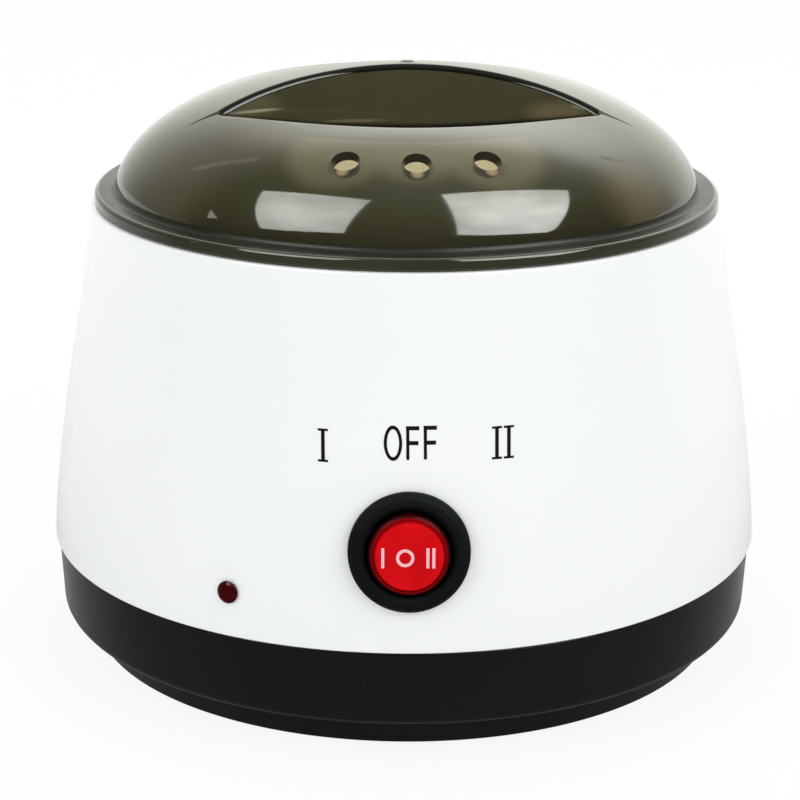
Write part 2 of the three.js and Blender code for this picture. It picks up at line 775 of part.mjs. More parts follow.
function buildBracket() {
  const top = capBottom - seatGap;
  const bottom = top - bracketThickness;
  const y = -thermostatOffset;
  const bar = block([-bracketLength / 2, y - bracketWidth / 2, bottom],
    [bracketLength / 2, y + bracketWidth / 2, top]);
  return cutAll(bar, [
    post(thermostatBodyRadius + boreGap, bottom - overrun, top + overrun, roundSides, 0, y),
    ...[-1, 1].map((side) => post(smallStudRadius + boreGap, bottom - overrun, top + overrun, smallSides,
      side * smallStudSpacing, y)),
  ]);
}

addPiece('thermostat_bracket', buildBracket(), zincSteel);

const clipBottom = capTop - clipWall;
const bracketSeat = capBottom - 2 * seatGap - bracketThickness;
const smallNutTops = [bracketSeat, bracketSeat, clipBottom - seatGap];
const smallNutNames = ['thermostat_nut_1', 'thermostat_nut_2', 'fuse_nut'];
smallStuds.forEach(([x, y], i) => {
  const body = nut(smallNutAcrossFlats, smallNutHeight, smallStudRadius + seatGap, smallNutTops[i], x, y);
  addPiece(smallNutNames[i], body, zincSteel);
});

// Thermal fuse and its clip

const fuseCentre = capTop - fuseRadius;

// A rod along the fuse's own axis, with the same reach to both sides
function fuseRod(radius, reach, sides) {
  return rod(radius, [-reach, fuseOffset, fuseCentre], [reach, fuseOffset, fuseCentre], sides);
}

addPiece('thermal_fuse', joinAll([
  fuseRod(fuseRadius, fuseLength / 2, smallSides),
  fuseRod(fuseLeadRadius, fuseLength / 2 + fuseLeadLength, wireSides),
]), nylonWhite);

function buildClip() {
  const inner = fuseRadius + seatGap;
  const outer = inner + clipWall;
  const half = clipWidth / 2;
  const reach = half + overrun;
  const loop = fuseRod(outer, half, roundSides);
  const leg = block([-half, fuseOffset - outer, fuseCentre], [half, fuseOffset + outer, capTop]);
  const flange = block([-half, fuseOffset + inner, clipBottom],
    [half, fuseOffset + clipFlangeLength, capTop]);
  const room = fuseRod(inner, reach, roundSides);
  const roomTop = block([-reach, fuseOffset - inner, fuseCentre],
    [reach, fuseOffset + inner, capTop + overrun]);
  const [x, y] = smallStuds[2];
  const hole = post(smallStudRadius + boreGap, clipBottom - overrun, capTop + overrun, smallSides, x, y);
  return cutAll(joinAll([loop, leg, flange]), [room, roomTop, hole]);
}

addPiece('fuse_clip', buildClip(), zincSteel);

// Lift-out pot and its bail

function buildPot() {
  const mouth = beadCentre - beadRadius;
  const outside = vesselSide(potMouthRadius + potSheet, potFloorRadius + potSheet, potFloor - potSheet,
    wellBend - potGap, mouth, 3);
  const profile = [
    ...vesselSide(potMouthRadius, potFloorRadius, potFloor, wellBend - potGap - potSheet, mouth, 3),
    ...arc(beadCircle, beadCentre, beadRadius, 120, -180, 6),
    ...outside.reverse(),
  ];
  const ear = new THREE.Shape();
  ear.moveTo(-earRadius, beadCentre - beadRadius);
  ear.lineTo(earRadius, beadCentre - beadRadius);
  ear.lineTo(earRadius, hingeHeight);
  ear.absarc(0, hingeHeight, earRadius, 0, Math.PI, false);
  const options = { depth: earThickness, bevelEnabled: false, curveSegments: smallSides };
  const upright = new THREE.ExtrudeGeometry(ear, options);
  upright.rotateX(Math.PI / 2).rotateZ(Math.PI / 2).translate(earOuter - earThickness, 0, 0);
  const rightEar = solid(upright);
  const hole = rod(bailWireRadius + boreGap, [-seamRadius, 0, hingeHeight], [seamRadius, 0, hingeHeight],
    smallSides);
  return joinAll([turned(profile, potSides), rightEar, rightEar.mirror([1, 0, 0])]).subtract(hole);
}

addPiece('inner_pot', buildPot(), spunAluminium);

// A round tube along a curve
function tube(curve, radius, sides, steps) {
  const section = new THREE.Shape();
  section.absarc(0, 0, radius, 0, 2 * Math.PI, false);
  const options = { steps, bevelEnabled: false, extrudePath: curve, curveSegments: sides };
  return solid(new THREE.ExtrudeGeometry(section, options));
}

// Half a turn of the wire round the pot, from the right ear to the left one
class BailArc extends THREE.Curve {
  getPoint(t) {
    const angle = Math.PI * t;
    return new THREE.Vector3(bailRadius * Math.cos(angle), bailRadius * Math.sin(angle), hingeHeight);
  }
}

function buildBail() {
  const pinEnd = bailRadius - bailPinLength;
  const corner = new THREE.SphereGeometry(bailWireRadius, smallSides, smallSides / 2);
  const rightPin = joinAll([
    rod(bailWireRadius, [pinEnd, 0, hingeHeight], [bailRadius, 0, hingeHeight], smallSides),
    solid(corner).translate([bailRadius, 0, hingeHeight]),
  ]);
  const halfTurn = tube(new BailArc(), bailWireRadius, smallSides / 2, bailSteps);
  return joinAll([halfTurn, rightPin, rightPin.mirror([1, 0, 0])]);
}

addPiece('bail_handle', buildBail(), zincSteel);

// Smoked lid

// The dome's outer side: a share of its rise gives a radius and a height
function domePoint(share) {
  const radius = domeRadius * (1 - share ** domeRiseExponent) ** (1 / domeRadiusExponent);
  return [radius, domeBase + domeRise * share];
}

// The dome's profile moved inwards by a wall
function domeSide(wall, steps, startShare) {
  const shares = Array.from({ length: steps },
    (_, i) => 1 - (1 - startShare) * (1 - i / steps) ** domeCrowding);
  const points = shares.map((share) => {
    const [r, z] = domePoint(share);
    const [rNext, zNext] = domePoint(Math.min(1, share + domeTangentStep));
    const length = Math.hypot(rNext - r, zNext - z);
    return [r - wall * (zNext - z) / length, z + wall * (rNext - r) / length];
  });
  return [...points.filter(([r]) => r > wall), [0, domeTop - wall]];
}

// Plan outline of the front scoop, moved in by an inset: its front edge, then its back arc
function scoopOutline(inset) {
  const backAt = (x) => -(gripHalfWidth + inset + gripSideRadius - Math.sqrt(gripSideRadius ** 2 - x ** 2));
  const length = scoopHalfLength - inset;
  const reach = scoopReach - inset;
  const left = (x) => 1 - (Math.abs(x) / length) ** scoopLengthExponent;
  const frontAt = (x) => -reach * left(x) ** (1 / scoopReachExponent);
  let inside = 0;
  let outside = length;
  for (let i = 0; i < halvings; i += 1) {
    const middle = (inside + outside) / 2;
    if (frontAt(middle) < backAt(middle)) {
      inside = middle;
    } else {
      outside = middle;
    }
  }
  const turns = Array.from({ length: scoopPoints + 1 }, (_, i) => Math.PI * i / scoopPoints);
  const across = turns.map((turn) => -Math.cos(turn) * inside);
  const front = across.slice(0, -1).map((x) => [x, frontAt(x)]);
  const back = across.slice(1).reverse().map((x) => [x, backAt(x)]);
  return [...front, ...back];
}

// The scoop's tool: a drafted pocket with a round bottom edge, grown by a wall for the lid's inside
function scoopTool(grow) {
  const radius = scoopRound + grow;
  const floor = scoopFloor - grow;
  const draft = Math.tan(degrees(scoopDraft));
  const wallStart = floor + radius;
  const top = domeTop + nubHeight + overrun;
  const drawnIn = (z) => (domeTop - z) * draft - grow;
  const levels = Array.from({ length: scoopRoundSteps + 1 }, (_, i) => {
    const angle = (Math.PI / 2) * (i / scoopRoundSteps);
    const inset = radius * (1 - Math.sin(angle)) + drawnIn(wallStart);
    return { z: floor + radius * (1 - Math.cos(angle)), inset };
  });
  levels.push({ z: top, inset: drawnIn(top) });
  const rings = levels.map(({ z, inset }) => scoopOutline(inset).map(([x, y]) => [x, y, z]));
  return solid(loft(rings));
}

// Rings of equally many points, joined by walls and closed by a flat face at each end
function loft(rings) {
  const count = rings[0].length;
  const positions = rings.flat(2);
  const index = [];
  rings.slice(1).forEach((_, level) => {
    for (let i = 0; i < count; i += 1) {
      const a = level * count + i;
      const b = level * count + (i + 1) % count;
      index.push(a, b, b + count, a, b + count, a + count);
    }
  });
  const last = (rings.length - 1) * count;
  const flat = rings[0].map(([x, y]) => new THREE.Vector2(x, y));
  THREE.ShapeUtils.triangulateShape(flat, []).forEach(([a, b, c]) => {
    index.push(a, c, b, last + a, last + b, last + c);
  });
  const geometry = new THREE.BufferGeometry();
  geometry.setAttribute('position', new THREE.Float32BufferAttribute(positions, 3));
  geometry.setIndex(index);
  return geometry;
}

function lidOuterProfile() {
  const flangeTop = lidUnderside + lidFlangeThickness;
  const rimOuter = recessRadius - lidRimGap;
  const startShare = (flangeTop + domeFillet - domeBase) / domeRise;
  const [filletRadius, filletHeight] = domePoint(startShare);
  return [
    [0, lidUnderside - lidRimDepth],
    [rimOuter, lidUnderside - lidRimDepth],
    [rimOuter, lidUnderside],
    [lidFlangeRadius, lidUnderside],
    [lidFlangeRadius, flangeTop - seatGap],
    [lidFlangeRadius - seatGap, flangeTop],
    ...arc(filletRadius + domeFillet, filletHeight, domeFillet, -90, -180, 2).slice(0, -1),
    ...domeSide(0, 7, startShare),
  ];
}

function lidInnerProfile() {
  const rimInner = recessRadius - lidRimGap - lidRimWidth;
  const side = domeSide(lidWall, 6, (domeSink + lidFlangeThickness) / domeRise);
  return [
    [0, lidUnderside - lidRimDepth - overrun],
    [rimInner, lidUnderside - lidRimDepth - overrun],
    [rimInner, lidUnderside],
    [side[0][0], lidUnderside],
    ...side,
  ];
}

function buildLid() {
  const bothScoops = (grow) => {
    const front = scoopTool(grow);
    return front.add(front.mirror([0, 1, 0]));
  };
  const nub = post(nubRadius, domeTop - lidWall, domeTop + nubHeight, roundSides);
  const outside = turned(lidOuterProfile(), shellSides).add(nub).subtract(bothScoops(0));
  const inside = turned(lidInnerProfile(), shellSides).subtract(bothScoops(lidWall));
  const holes = ventHoleAzimuths.map(ventTool);
  return cutAll(outside.subtract(inside), holes).rotate([0, 0, lidTurn]);
}

// A vent hole's tool, square to the dome's side
function ventTool(azimuth) {
  const share = (1 - ventHoleShare ** domeRadiusExponent) ** (1 / domeRiseExponent);
  const out = (domeRadiusExponent / domeRadius) * ventHoleShare ** (domeRadiusExponent - 1);
  const up = (domeRiseExponent / domeRise) * share ** (domeRiseExponent - 1);
  const length = Math.hypot(out, up);
  const at = (depth) => [
    ...around(ventHoleShare * domeRadius - depth * out / length, azimuth),
    domeBase + domeRise * share - depth * up / length,
  ];
  return rod(ventHoleRadius, at(-overrun), at(lidWall + overrun), roundSides);
}

addPiece('lid', buildLid(), smokedClear);

// Rocker switch

function buildSwitchBody() {
  const dish = bezelFront - bezelDish;
  const profile = [
    [0, -cavityDepth],
    [cavityRadius, -cavityDepth],
    [cavityRadius, dish],
    [bezelRadius - 2 * bezelRound, bezelFront],
    [bezelRadius - bezelRound / 2, bezelFront - bezelRound / 4],
    [bezelRadius, bezelFront - bezelRound],
    [bezelRadius, -bezelSeat],
    [barrelRadius, -bezelSeat],
    [barrelRadius, -barrelDepth],
    [0, -barrelDepth],
  ];
  const sockets = rod(trunnionRadius + boreGap, [0, -trunnionReach - seatGap, -pivotDepth],
    [0, trunnionReach + seatGap, -pivotDepth], smallSides);
  return turned(profile, bezelSides).subtract(sockets);
}

addPiece('switch_body', buildSwitchBody(), blackGloss, switchFrame);

function buildRocker() {
  const profile = [
    [0, rockerFront],
    [rockerFaceRadius - rockerGroove, rockerFront - rockerGroove / 3],
    [rockerFaceRadius, rockerFront - rockerGroove],
    [rockerFaceRadius, rockerShoulder - rockerGroove],
    [rockerFaceRadius + rockerGroove, rockerShoulder - rockerGroove],
    [rockerFaceRadius + rockerGroove, rockerShoulder],
    [rockerRadius - rockerGroove / 2, rockerShoulder],
    [rockerRadius, rockerShoulder - rockerGroove],
    [rockerRadius, -rockerBack],
    [0, -rockerBack],
  ];
  const trunnions = rod(trunnionRadius, [0, -trunnionReach, -pivotDepth], [0, trunnionReach, -pivotDepth],
    smallSides);
  return turned(profile, bezelSides).add(trunnions);
}

addPiece('rocker', buildRocker(), rockerRed, switchFrame);

const switchTabs = [-switchTabSpacing, 0, switchTabSpacing];
switchTabs.forEach((x, i) => {
  const start = -barrelDepth - seatGap;
  const tab = block([x - tabThickness / 2, -tabWidth / 2, start - switchTabLength],
    [x + tabThickness / 2, tabWidth / 2, start]);
  addPiece(`switch_tab_${i + 1}`, tab, brassPlate, switchFrame);
});

// Indicator lamp

function buildLens() {
  const headBack = seatGap;
  return turned([
    [0, -lampNeckLength],
    [lampNeckRadius, -lampNeckLength],
    [lampNeckRadius, headBack],
    [lampRadius, headBack],
    [lampRadius, lampDome / 2],
    [lampRadius * 3 / 4, lampDome * 7 / 8],
    [lampRadius / 3, lampDome],
    [0, lampDome],
  ], roundSides);
}

addPiece('lamp_lens', buildLens(), lampRed, lampFrame);

function buildSleeve() {
  const front = -housingWall - seatGap;
  const bore = lampNeckRadius + seatGap;
  return turned([
    [0, front - lampSleeveLength],
    [lampSleeveRadius, front - lampSleeveLength],
    [lampSleeveRadius, front],
    [bore, front],
    [bore, -lampNeckLength - seatGap],
    [0, -lampNeckLength - seatGap],
  ], roundSides);
}

addPiece('lamp_sleeve', buildSleeve(), blackGloss, lampFrame);

// Cable gland

function buildGland() {
  const collarFront = -2 * baseWall;
  return turned([
    [glandBoreRadius, glandFlangeLength],
    [glandFlangeRadius - seatGap, glandFlangeLength],
    [glandFlangeRadius, glandFlangeLength - seatGap],
    [glandFlangeRadius, seatGap],
    [glandNeckRadius, seatGap],
    [glandNeckRadius, collarFront],
    [glandCollarRadius, collarFront],
    [glandNeckRadius, collarFront - glandCollarLength],
    [glandBoreRadius, collarFront - glandCollarLength],
  ], bezelSides);
}

addPiece('cable_gland', buildGland(), blackGloss, backFrame);

// Terminal block

const blockBottom = floorTop + padHeight + seatGap;
const blockTop = blockBottom + blockHeight;
const entryHeight = blockBottom + blockHeight * 2 / 5;
const poles = [-blockPitch, 0, blockPitch];

function buildTerminalBlock() {
  const body = block([-blockLength / 2, blockOffset - blockWidth / 2, blockBottom],
    [blockLength / 2, blockOffset + blockWidth / 2, blockTop]);
  const entry = (x, from, to) => rod(blockEntryRadius, [x, from, entryHeight], [x, to, entryHeight],
    smallSides);
  const near = blockOffset - blockWidth / 2;
  const far = blockOffset + blockWidth / 2;
  const entries = poles.flatMap((x) => [
    entry(x, near - overrun, near + blockWidth / 4),
    entry(x, far - blockWidth / 4, far + overrun),
  ]);
  const wells = poles.flatMap((x) => [-1, 1].map((side) => post(blockScrewWell, blockTop - blockWellDepth,
    blockTop + overrun, smallSides, x, blockOffset + side * blockWidth / 4)));
  const hole = post(blockScrewRadius + boreGap, blockBottom - overrun, blockTop + overrun, smallSides, 0,
    blockOffset);
  return cutAll(body, [...entries, ...wells, hole]);
}

addPiece('terminal_block', buildTerminalBlock(), nylonWhite);

function buildBlockScrew() {
  const seat = blockTop + seatGap;
  const tip = floorTop + padHeight - blockScrewBite + seatGap;
  return joinAll([
    post(blockScrewHeadRadius, seat, seat + blockScrewHeadHeight, smallSides, 0, blockOffset),
    post(blockScrewRadius, tip, seat + blockScrewHeadHeight / 2, smallSides, 0, blockOffset),
  ]);
}

addPiece('block_screw', buildBlockScrew(), zincSteel);

// Internal wires, each from one terminal to another

function inSwitch(x, z) {
  return new THREE.Vector3(x, 0, z).applyMatrix4(switchFrame.matrix).toArray();
}

function inLamp(z) {
  return new THREE.Vector3(0, 0, z).applyMatrix4(lampFrame.matrix).toArray();
}

const tabTip = -barrelDepth - seatGap - switchTabLength - seatGap;
const tabFoot = thermostatBottom - tabLength - seatGap;
const entryFace = blockOffset - blockWidth / 2 + seatGap;
const straight = 4 * wireRadius; // each wire leaves its terminal in line with it

function fromSwitchTab(x) {
  return [inSwitch(x, tabTip), inSwitch(x, tabTip - straight)];
}

function toLug(azimuth) {
  const [x, y, z] = lugTip(azimuth);
  return [[x, y, z - seatGap - straight], [x, y, z - seatGap]];
}

function fromThermostat(x) {
  return [[x, -thermostatOffset, tabFoot], [x, -thermostatOffset, tabFoot - straight]];
}

function fromFuse(side) {
  const x = fuseLength / 2 + fuseLeadLength + seatGap;
  return [[side * x, fuseOffset, fuseCentre], [side * (x + straight), fuseOffset, fuseCentre]];
}

function toPole(x) {
  return [[x, entryFace - straight - seatGap, entryHeight], [x, entryFace, entryHeight]];
}

function past(shares) {
  const rise = wellBottom - floorTop;
  return shares.map(([x, y, up]) => [x * seamRadius, y * seamRadius, floorTop + up * rise]);
}

const lampTail = -housingWall - 2 * seatGap - lampSleeveLength;

const wires = [
  {
    name: 'wire_live',
    look: wireBrown,
    route: [...fromSwitchTab(0), ...past(liveShares), ...toPole(blockPitch)],
  },
  {
    name: 'wire_low',
    look: wireRed,
    route: [...fromSwitchTab(-switchTabSpacing), ...toLug(-lugAzimuth)],
  },
  {
    name: 'wire_high',
    look: wireRed,
    route: [...fromSwitchTab(switchTabSpacing), ...toLug(lugAzimuth)],
  },
  {
    name: 'wire_common',
    look: wireBlue,
    route: [
      ...toLug(commonLugAzimuth).reverse(),
      ...past(commonShares),
      ...fromThermostat(tabPitch).reverse(),
    ],
  },
  {
    name: 'wire_fuse',
    look: wireBlue,
    route: [...fromThermostat(-tabPitch), ...past(fuseShares), ...fromFuse(-1).reverse()],
  },
  {
    name: 'wire_neutral',
    look: wireBlue,
    route: [...fromFuse(1), ...past(neutralShares), ...toPole(-blockPitch)],
  },
  {
    name: 'wire_lamp',
    look: wireBlue,
    route: [inLamp(lampTail), inLamp(lampTail - straight), ...past(lampShares), ...toPole(0)],
  },
];

wires.forEach(({ name, look, route }) => {
  const curve = new THREE.CatmullRomCurve3(route.map((point) => new THREE.Vector3(...point)));
  addPiece(name, tube(curve, wireRadius, wireSides / 2, wireSteps), look);
});

export default group;
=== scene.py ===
"""Looks of a table-top wax warmer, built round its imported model.

Everything is modelled in millimetres in the model's own frame, with +Z up and the switch facing -Y, and is
scaled to metres when a piece is finished.
"""

import math

import bmesh
import bpy
from mathutils import Matrix, Vector


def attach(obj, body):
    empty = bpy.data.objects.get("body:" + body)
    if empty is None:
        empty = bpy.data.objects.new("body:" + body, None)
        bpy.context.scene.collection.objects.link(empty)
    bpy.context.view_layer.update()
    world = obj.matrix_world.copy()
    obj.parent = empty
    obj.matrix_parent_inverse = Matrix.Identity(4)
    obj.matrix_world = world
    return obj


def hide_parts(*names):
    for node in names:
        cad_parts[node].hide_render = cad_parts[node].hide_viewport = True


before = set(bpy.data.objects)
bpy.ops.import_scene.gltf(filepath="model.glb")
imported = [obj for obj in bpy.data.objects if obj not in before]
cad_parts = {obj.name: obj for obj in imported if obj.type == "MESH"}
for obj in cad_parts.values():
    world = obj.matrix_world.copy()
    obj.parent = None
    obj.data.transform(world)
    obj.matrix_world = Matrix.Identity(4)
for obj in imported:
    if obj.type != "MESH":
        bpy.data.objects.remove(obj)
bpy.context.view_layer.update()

# Scale and resolution
MM = 0.001
ROUND_STEPS = 192
SMALL_STEPS = 64
FILLET_STEPS = 6

# Camera: its place was found from the circles in the photograph
FOCAL_LENGTH = 105.0
CAMERA_DISTANCE = 476.5
CAMERA_HEIGHT = 201.8
CAMERA_PITCH = 0.310414
CAMERA_YAW = 0.002176
CAMERA_ROLL = -0.006773
CAMERA_AZIMUTH = math.radians(-0.8)

# White housing
SEAM_Z = 23.0
SEAM_R = 75.0
SHOULDER_R = 65.3
HOUSING_H = 71.0
HOUSING_TOP = SEAM_Z + HOUSING_H
HOUSING_WALL = 2.2
RECESS_R = 63.1
LIP_TOP = 92.4
LIP_BOTTOM = 90.0
LIP_HOLE_R = 57.4
SWITCH_SEAT_R = 11.5
SWITCH_HOLE_R = 10.2
LAMP_HOLE_R = 2.0
# Hanging bosses, each with its radius, bottom, top and the radius of its bore
BASE_BOSS = (4.5, 12.4, 39.4, 1.7)
SIDE_BOSS = (4.0, 29.0, 44.0, 1.6)
SIDE_BOSS_AZIMUTHS = (90, 270)
# The side's curve, as shares of the way in from the seam to the shoulder and of the way up
SIDE_SHARES = [(0, 0), (0.08, 0.14), (0.35, 0.42), (0.71, 0.7), (0.86, 0.85), (1, 1)]

# Black base
BAND_TOP = 22.7
BAND_TOP_R = 74.3
BAND_R = 73.5
BAND_BOTTOM = 7.1
BAND_ROUND = 2.3
UNDERCUT_R = 68.0
FOOT_RING_R = 67.0
FOOT_RING_BOTTOM = 0.9
FOOT_RING_INNER = 64.7
FLOOR_BOTTOM = 3.6
FLOOR_TOP = 5.8
RIM_OUTER = 72.4
RIM_INNER = 70.5
RIM_TOP = 27.2
FOOT_CIRCLE = 56.0
FOOT_AZIMUTHS = (30, 150, 210, 330)
FOOT_R = 5.5
SCREW_CIRCLE = 60.0
SCREW_AZIMUTHS = (60, 120, 240, 300)
CUP_TOP = 12.1
CUP_R = 5.5
SCREW_SEAT = 8.9
SCREW_HEAD_HOLE_R = 3.4
SCREW_SHANK_HOLE_R = 1.9
FOOT_POCKET_R = 5.8
FOOT_TOP = 4.1
SCREW_R = 1.5
SCREW_HEAD_R = 3.0
SCREW_HEAD_H = 2.2
CROSS_HALF_LENGTH = 1.7
CROSS_HALF_WIDTH = 0.35
CROSS_DEPTH = 1.0
BLOCK_PAD_LOW = (-15, 36)
BLOCK_PAD_HIGH = (15, 52)
BLOCK_SCREW_Y = 44
GLAND_Y = 73.95
GLAND_Z = 15.8
GLAND_HOLE_R = 5.1
GLAND_BORE_R = 3.4
GLAND_BODY_R = 4.9
GLAND_FLANGE_R = 6.2

# Lid
LID_UNDERSIDE = 94.1
LID_TURN = math.radians(1.5)
FLANGE_R = 64.5
FLANGE_TOP = 96.5
LID_RIM_R = 62.5
LID_RIM_INNER = 61.0
LID_RIM_BOTTOM = 93.0
LID_WALL = 2.0
DOME_R = 60.8
DOME_BASE = 93.0
DOME_RISE = 28.8
DOME_TOP = DOME_BASE + DOME_RISE
DOME_RISE_EXPONENT = 2.21
DOME_RADIUS_EXPONENT = 1.88
DOME_FILLET = 1.4
VENT_R = 2.5
VENT_CIRCLE = 48.3
VENT_AZIMUTHS = (-16, 0, 16)
NUB_R = 1.5
NUB_HEIGHT = 0.3

# Finger scoops in the lid
GRIP_HALF_WIDTH = 3.0
GRIP_SIDE_R = 66.0
SCOOP_REACH = 38.4
SCOOP_HALF_LENGTH = 48.4
SCOOP_FRONT_POWER = 1 / 1.3
SCOOP_FLOOR = 103.0
SCOOP_ROUND = 2.5
SCOOP_DRAFT = math.tan(math.radians(8))
SCOOP_COUNT = 176
LIP_EDGE_R = 0.7
GRIP_EDGE_R = 0.95
# The grip's rounded edge has a narrow bevel in it, a share of the way up its rounding
GRIP_BEVEL = 0.8
BEVEL_SHARE = 0.5
# The fine crease that runs on from each tip of a scoop
CREASE_START = (37.6, -16.25)
CREASE_END = (45.3, -15.9)
CREASE_WIDTH = 3.0
CREASE_DEPTH = 1.4
# Steps of a scoop's rounded edge and of its wall
ARC_STEPS = 5
WALL_STEPS = 16
# Finishes of the lid's faces, by their place in its list of materials
DOME_FACE, EDGE_FACE, WALL_FACE, INSIDE_FACE, RIM_FACE, LEDGE_FACE = range(6)

# Heating well, pot and bail
WELL_WALL = 1.2
WELL_MOUTH_R = 55.2
WELL_MOUTH = 91.9
WELL_FLOOR_R = 47.0
WELL_FLOOR = 34.4
WELL_BEND = 13.0
WELL_ROLL = 2.0
WELL_FLANGE_R = 60.6
STUD_TOP = 33.8
STRAP_STUD_R = 2.0
STRAP_STUD_BOTTOM = 21.2
SMALL_STUD_R = 1.3
SMALL_STUD_BOTTOM = 25.2
SMALL_STUDS = ((-13, -20), (13, -20), (0, 27.4))
POT_WALL = 0.9
POT_MOUTH_R = 53.3
POT_MOUTH = 94.2
POT_FLOOR_R = 45.1
POT_FLOOR = 35.9
POT_BEND = 11.1
BEAD_CIRCLE = 56.0
BEAD_Z = 95.7
BEAD_R = 1.5
EAR_OUTER = 53.675
EAR_R = 3.0
EAR_THICKNESS = 1.5
EAR_HOLE_R = 1.6
HINGE_Z = 98.7
HINGE_FRAME = Matrix.Translation((0, 0, HINGE_Z)) @ Matrix.Rotation(math.pi / 2, 4, "Y")
BAIL_WIRE_R = 1.2

# Switch and lamp
SWITCH_Z = 42.7
SWITCH_SURFACE_R = 72.938
SWITCH_TILT = 7.4
BEZEL_R = 11.4
BEZEL_WELL_R = 8.3
BEZEL_WELL_FLOOR = -5.2
BARREL_R = 9.8
BARREL_END = -13.0
ROCKER_R = 7.6
ROCKER_BACK = -3.4
ROCKER_FACE = 3.9
PIN_R = 1.0
PIN_REACH = 8.9
PIN_PLAY = 0.4
PIN_DEPTH = 1.2
LAMP_AZIMUTH = -27.3
LAMP_Z = 31.88
LAMP_SURFACE_R = 74.307
LAMP_TILT = 4.0


def polar(radius, azimuth):
    """A point at an azimuth in degrees, where 0 is the front and +X is at 90."""
    angle = math.radians(azimuth)
    return radius * math.sin(angle), -radius * math.cos(angle)


def on_circle(radius, azimuth):
    """The shift from the Z axis to a place on a circle round it."""
    return Matrix.Translation((*polar(radius, azimuth), 0))


def surface_frame(radius, height, azimuth, tilt):
    """A frame whose own +Z points out of the housing."""
    x, y = polar(radius, azimuth)
    turn = Matrix.Rotation(math.radians(azimuth), 4, "Z") @ Matrix.Rotation(math.radians(90 - tilt), 4, "X")
    return Matrix.Translation((x, y, height)) @ turn


SWITCH_FRAME = surface_frame(SWITCH_SURFACE_R, SWITCH_Z, 0, SWITCH_TILT)
LAMP_FRAME = surface_frame(LAMP_SURFACE_R, LAMP_Z, LAMP_AZIMUTH, LAMP_TILT)
PIN_FRAME = Matrix.Translation((0, 0, -PIN_DEPTH)) @ Matrix.Rotation(math.pi / 2, 4, "X")
GLAND_FRAME = Matrix.Translation((0, GLAND_Y, GLAND_Z)) @ Matrix.Rotation(math.radians(-90), 4, "X")


# Modelling helpers

def filleted(corners, steps=FILLET_STEPS):
    """Profile points from (radius, height) corners, where a third value is the radius of a fillet."""
    points = []
    for i, corner in enumerate(corners):
        here = Vector(corner[:2])
        if len(corner) < 3:
            points.append(tuple(here))
            continue
        before = (Vector(corners[i - 1][:2]) - here).normalized()
        after = (Vector(corners[(i + 1) % len(corners)][:2]) - here).normalized()
        half = before.angle(after) / 2
        reach = corner[2] / math.tan(half)
        centre = here + (before + after).normalized() * corner[2] / math.sin(half)
        start = here + before * reach - centre
        end = here + after * reach - centre
        first = math.atan2(start.y, start.x)
        sweep = (math.atan2(end.y, end.x) - first + math.pi) % math.tau - math.pi
        for step in range(steps + 1):
            angle = first + sweep * step / steps
            points.append((centre.x + corner[2] * math.cos(angle), centre.y + corner[2] * math.sin(angle)))
    return points


def smooth_curve(points, steps):
    """Points on a smooth curve through all the given ones, with a number of steps between each two."""
    spots = [Vector(point) for point in points]
    spots = [2 * spots[0] - spots[1]] + spots + [2 * spots[-1] - spots[-2]]
    curve = []
    for a, b, c, d in zip(spots, spots[1:], spots[2:], spots[3:]):
        for step in range(steps):
            t = step / steps
            curve.append(0.5 * (2 * b + (c - a) * t + (2 * a - 5 * b + 4 * c - d) * t ** 2
                                + (3 * b - a - 3 * c + d) * t ** 3))
    return curve + [spots[-2]]


def spun(points, steps=ROUND_STEPS):
    """A solid turned round Z from (radius, height) points."""
    bm = bmesh.new()
    verts = [bm.verts.new((radius, 0, height)) for radius, height in points]
    pairs = list(zip(verts, verts[1:]))
    if points[0][0] > 0 or points[-1][0] > 0:
        pairs.append((verts[-1], verts[0]))
    edges = [bm.edges.new(pair) for pair in pairs]
    bmesh.ops.spin(bm, geom=verts + edges, cent=(0, 0, 0), axis=(0, 0, 1), angle=math.tau, steps=steps,
                   use_merge=True)
    bmesh.ops.remove_doubles(bm, verts=bm.verts, dist=1e-5)
    bmesh.ops.recalc_face_normals(bm, faces=bm.faces)
    return bm


def drum(radius, bottom, top, steps=SMALL_STEPS, matrix=None):
    """A plain cylinder, mostly a cutting tool."""
    bm = bmesh.new()
    place = Matrix.Translation((0, 0, (bottom + top) / 2))
    bmesh.ops.create_cone(bm, cap_ends=True, segments=steps, radius1=radius, radius2=radius,
                          depth=top - bottom, matrix=(matrix or Matrix()) @ place)
    return bm


def brick(low, high, matrix=None):
    """A box between two corners."""
    bm = bmesh.new()
    size = Vector(high) - Vector(low)
    place = Matrix.Translation((Vector(high) + Vector(low)) / 2) @ Matrix.Diagonal((*size, 1))
    bmesh.ops.create_cube(bm, size=1, matrix=(matrix or Matrix()) @ place)
    return bm


def merged(bodies):
    """Several bmeshes in one."""
    whole = bmesh.new()
    for body in bodies:
        mesh = bpy.data.meshes.new("part")
        body.to_mesh(mesh)
        body.free()
        whole.from_mesh(mesh)
        bpy.data.meshes.remove(mesh)
    return whole


def placed(bm, matrix):
    bmesh.ops.transform(bm, matrix=matrix, verts=bm.verts)
    return bm


def mesh_object(name, bm, materials=()):
    """Puts a bmesh into the scene as an object, and frees it."""
    mesh = bpy.data.meshes.new(name)
    bm.to_mesh(mesh)
    bm.free()
    for material in materials:
        mesh.materials.append(material)
    made = bpy.data.objects.new(name, mesh)
    bpy.context.scene.collection.objects.link(made)
    return made


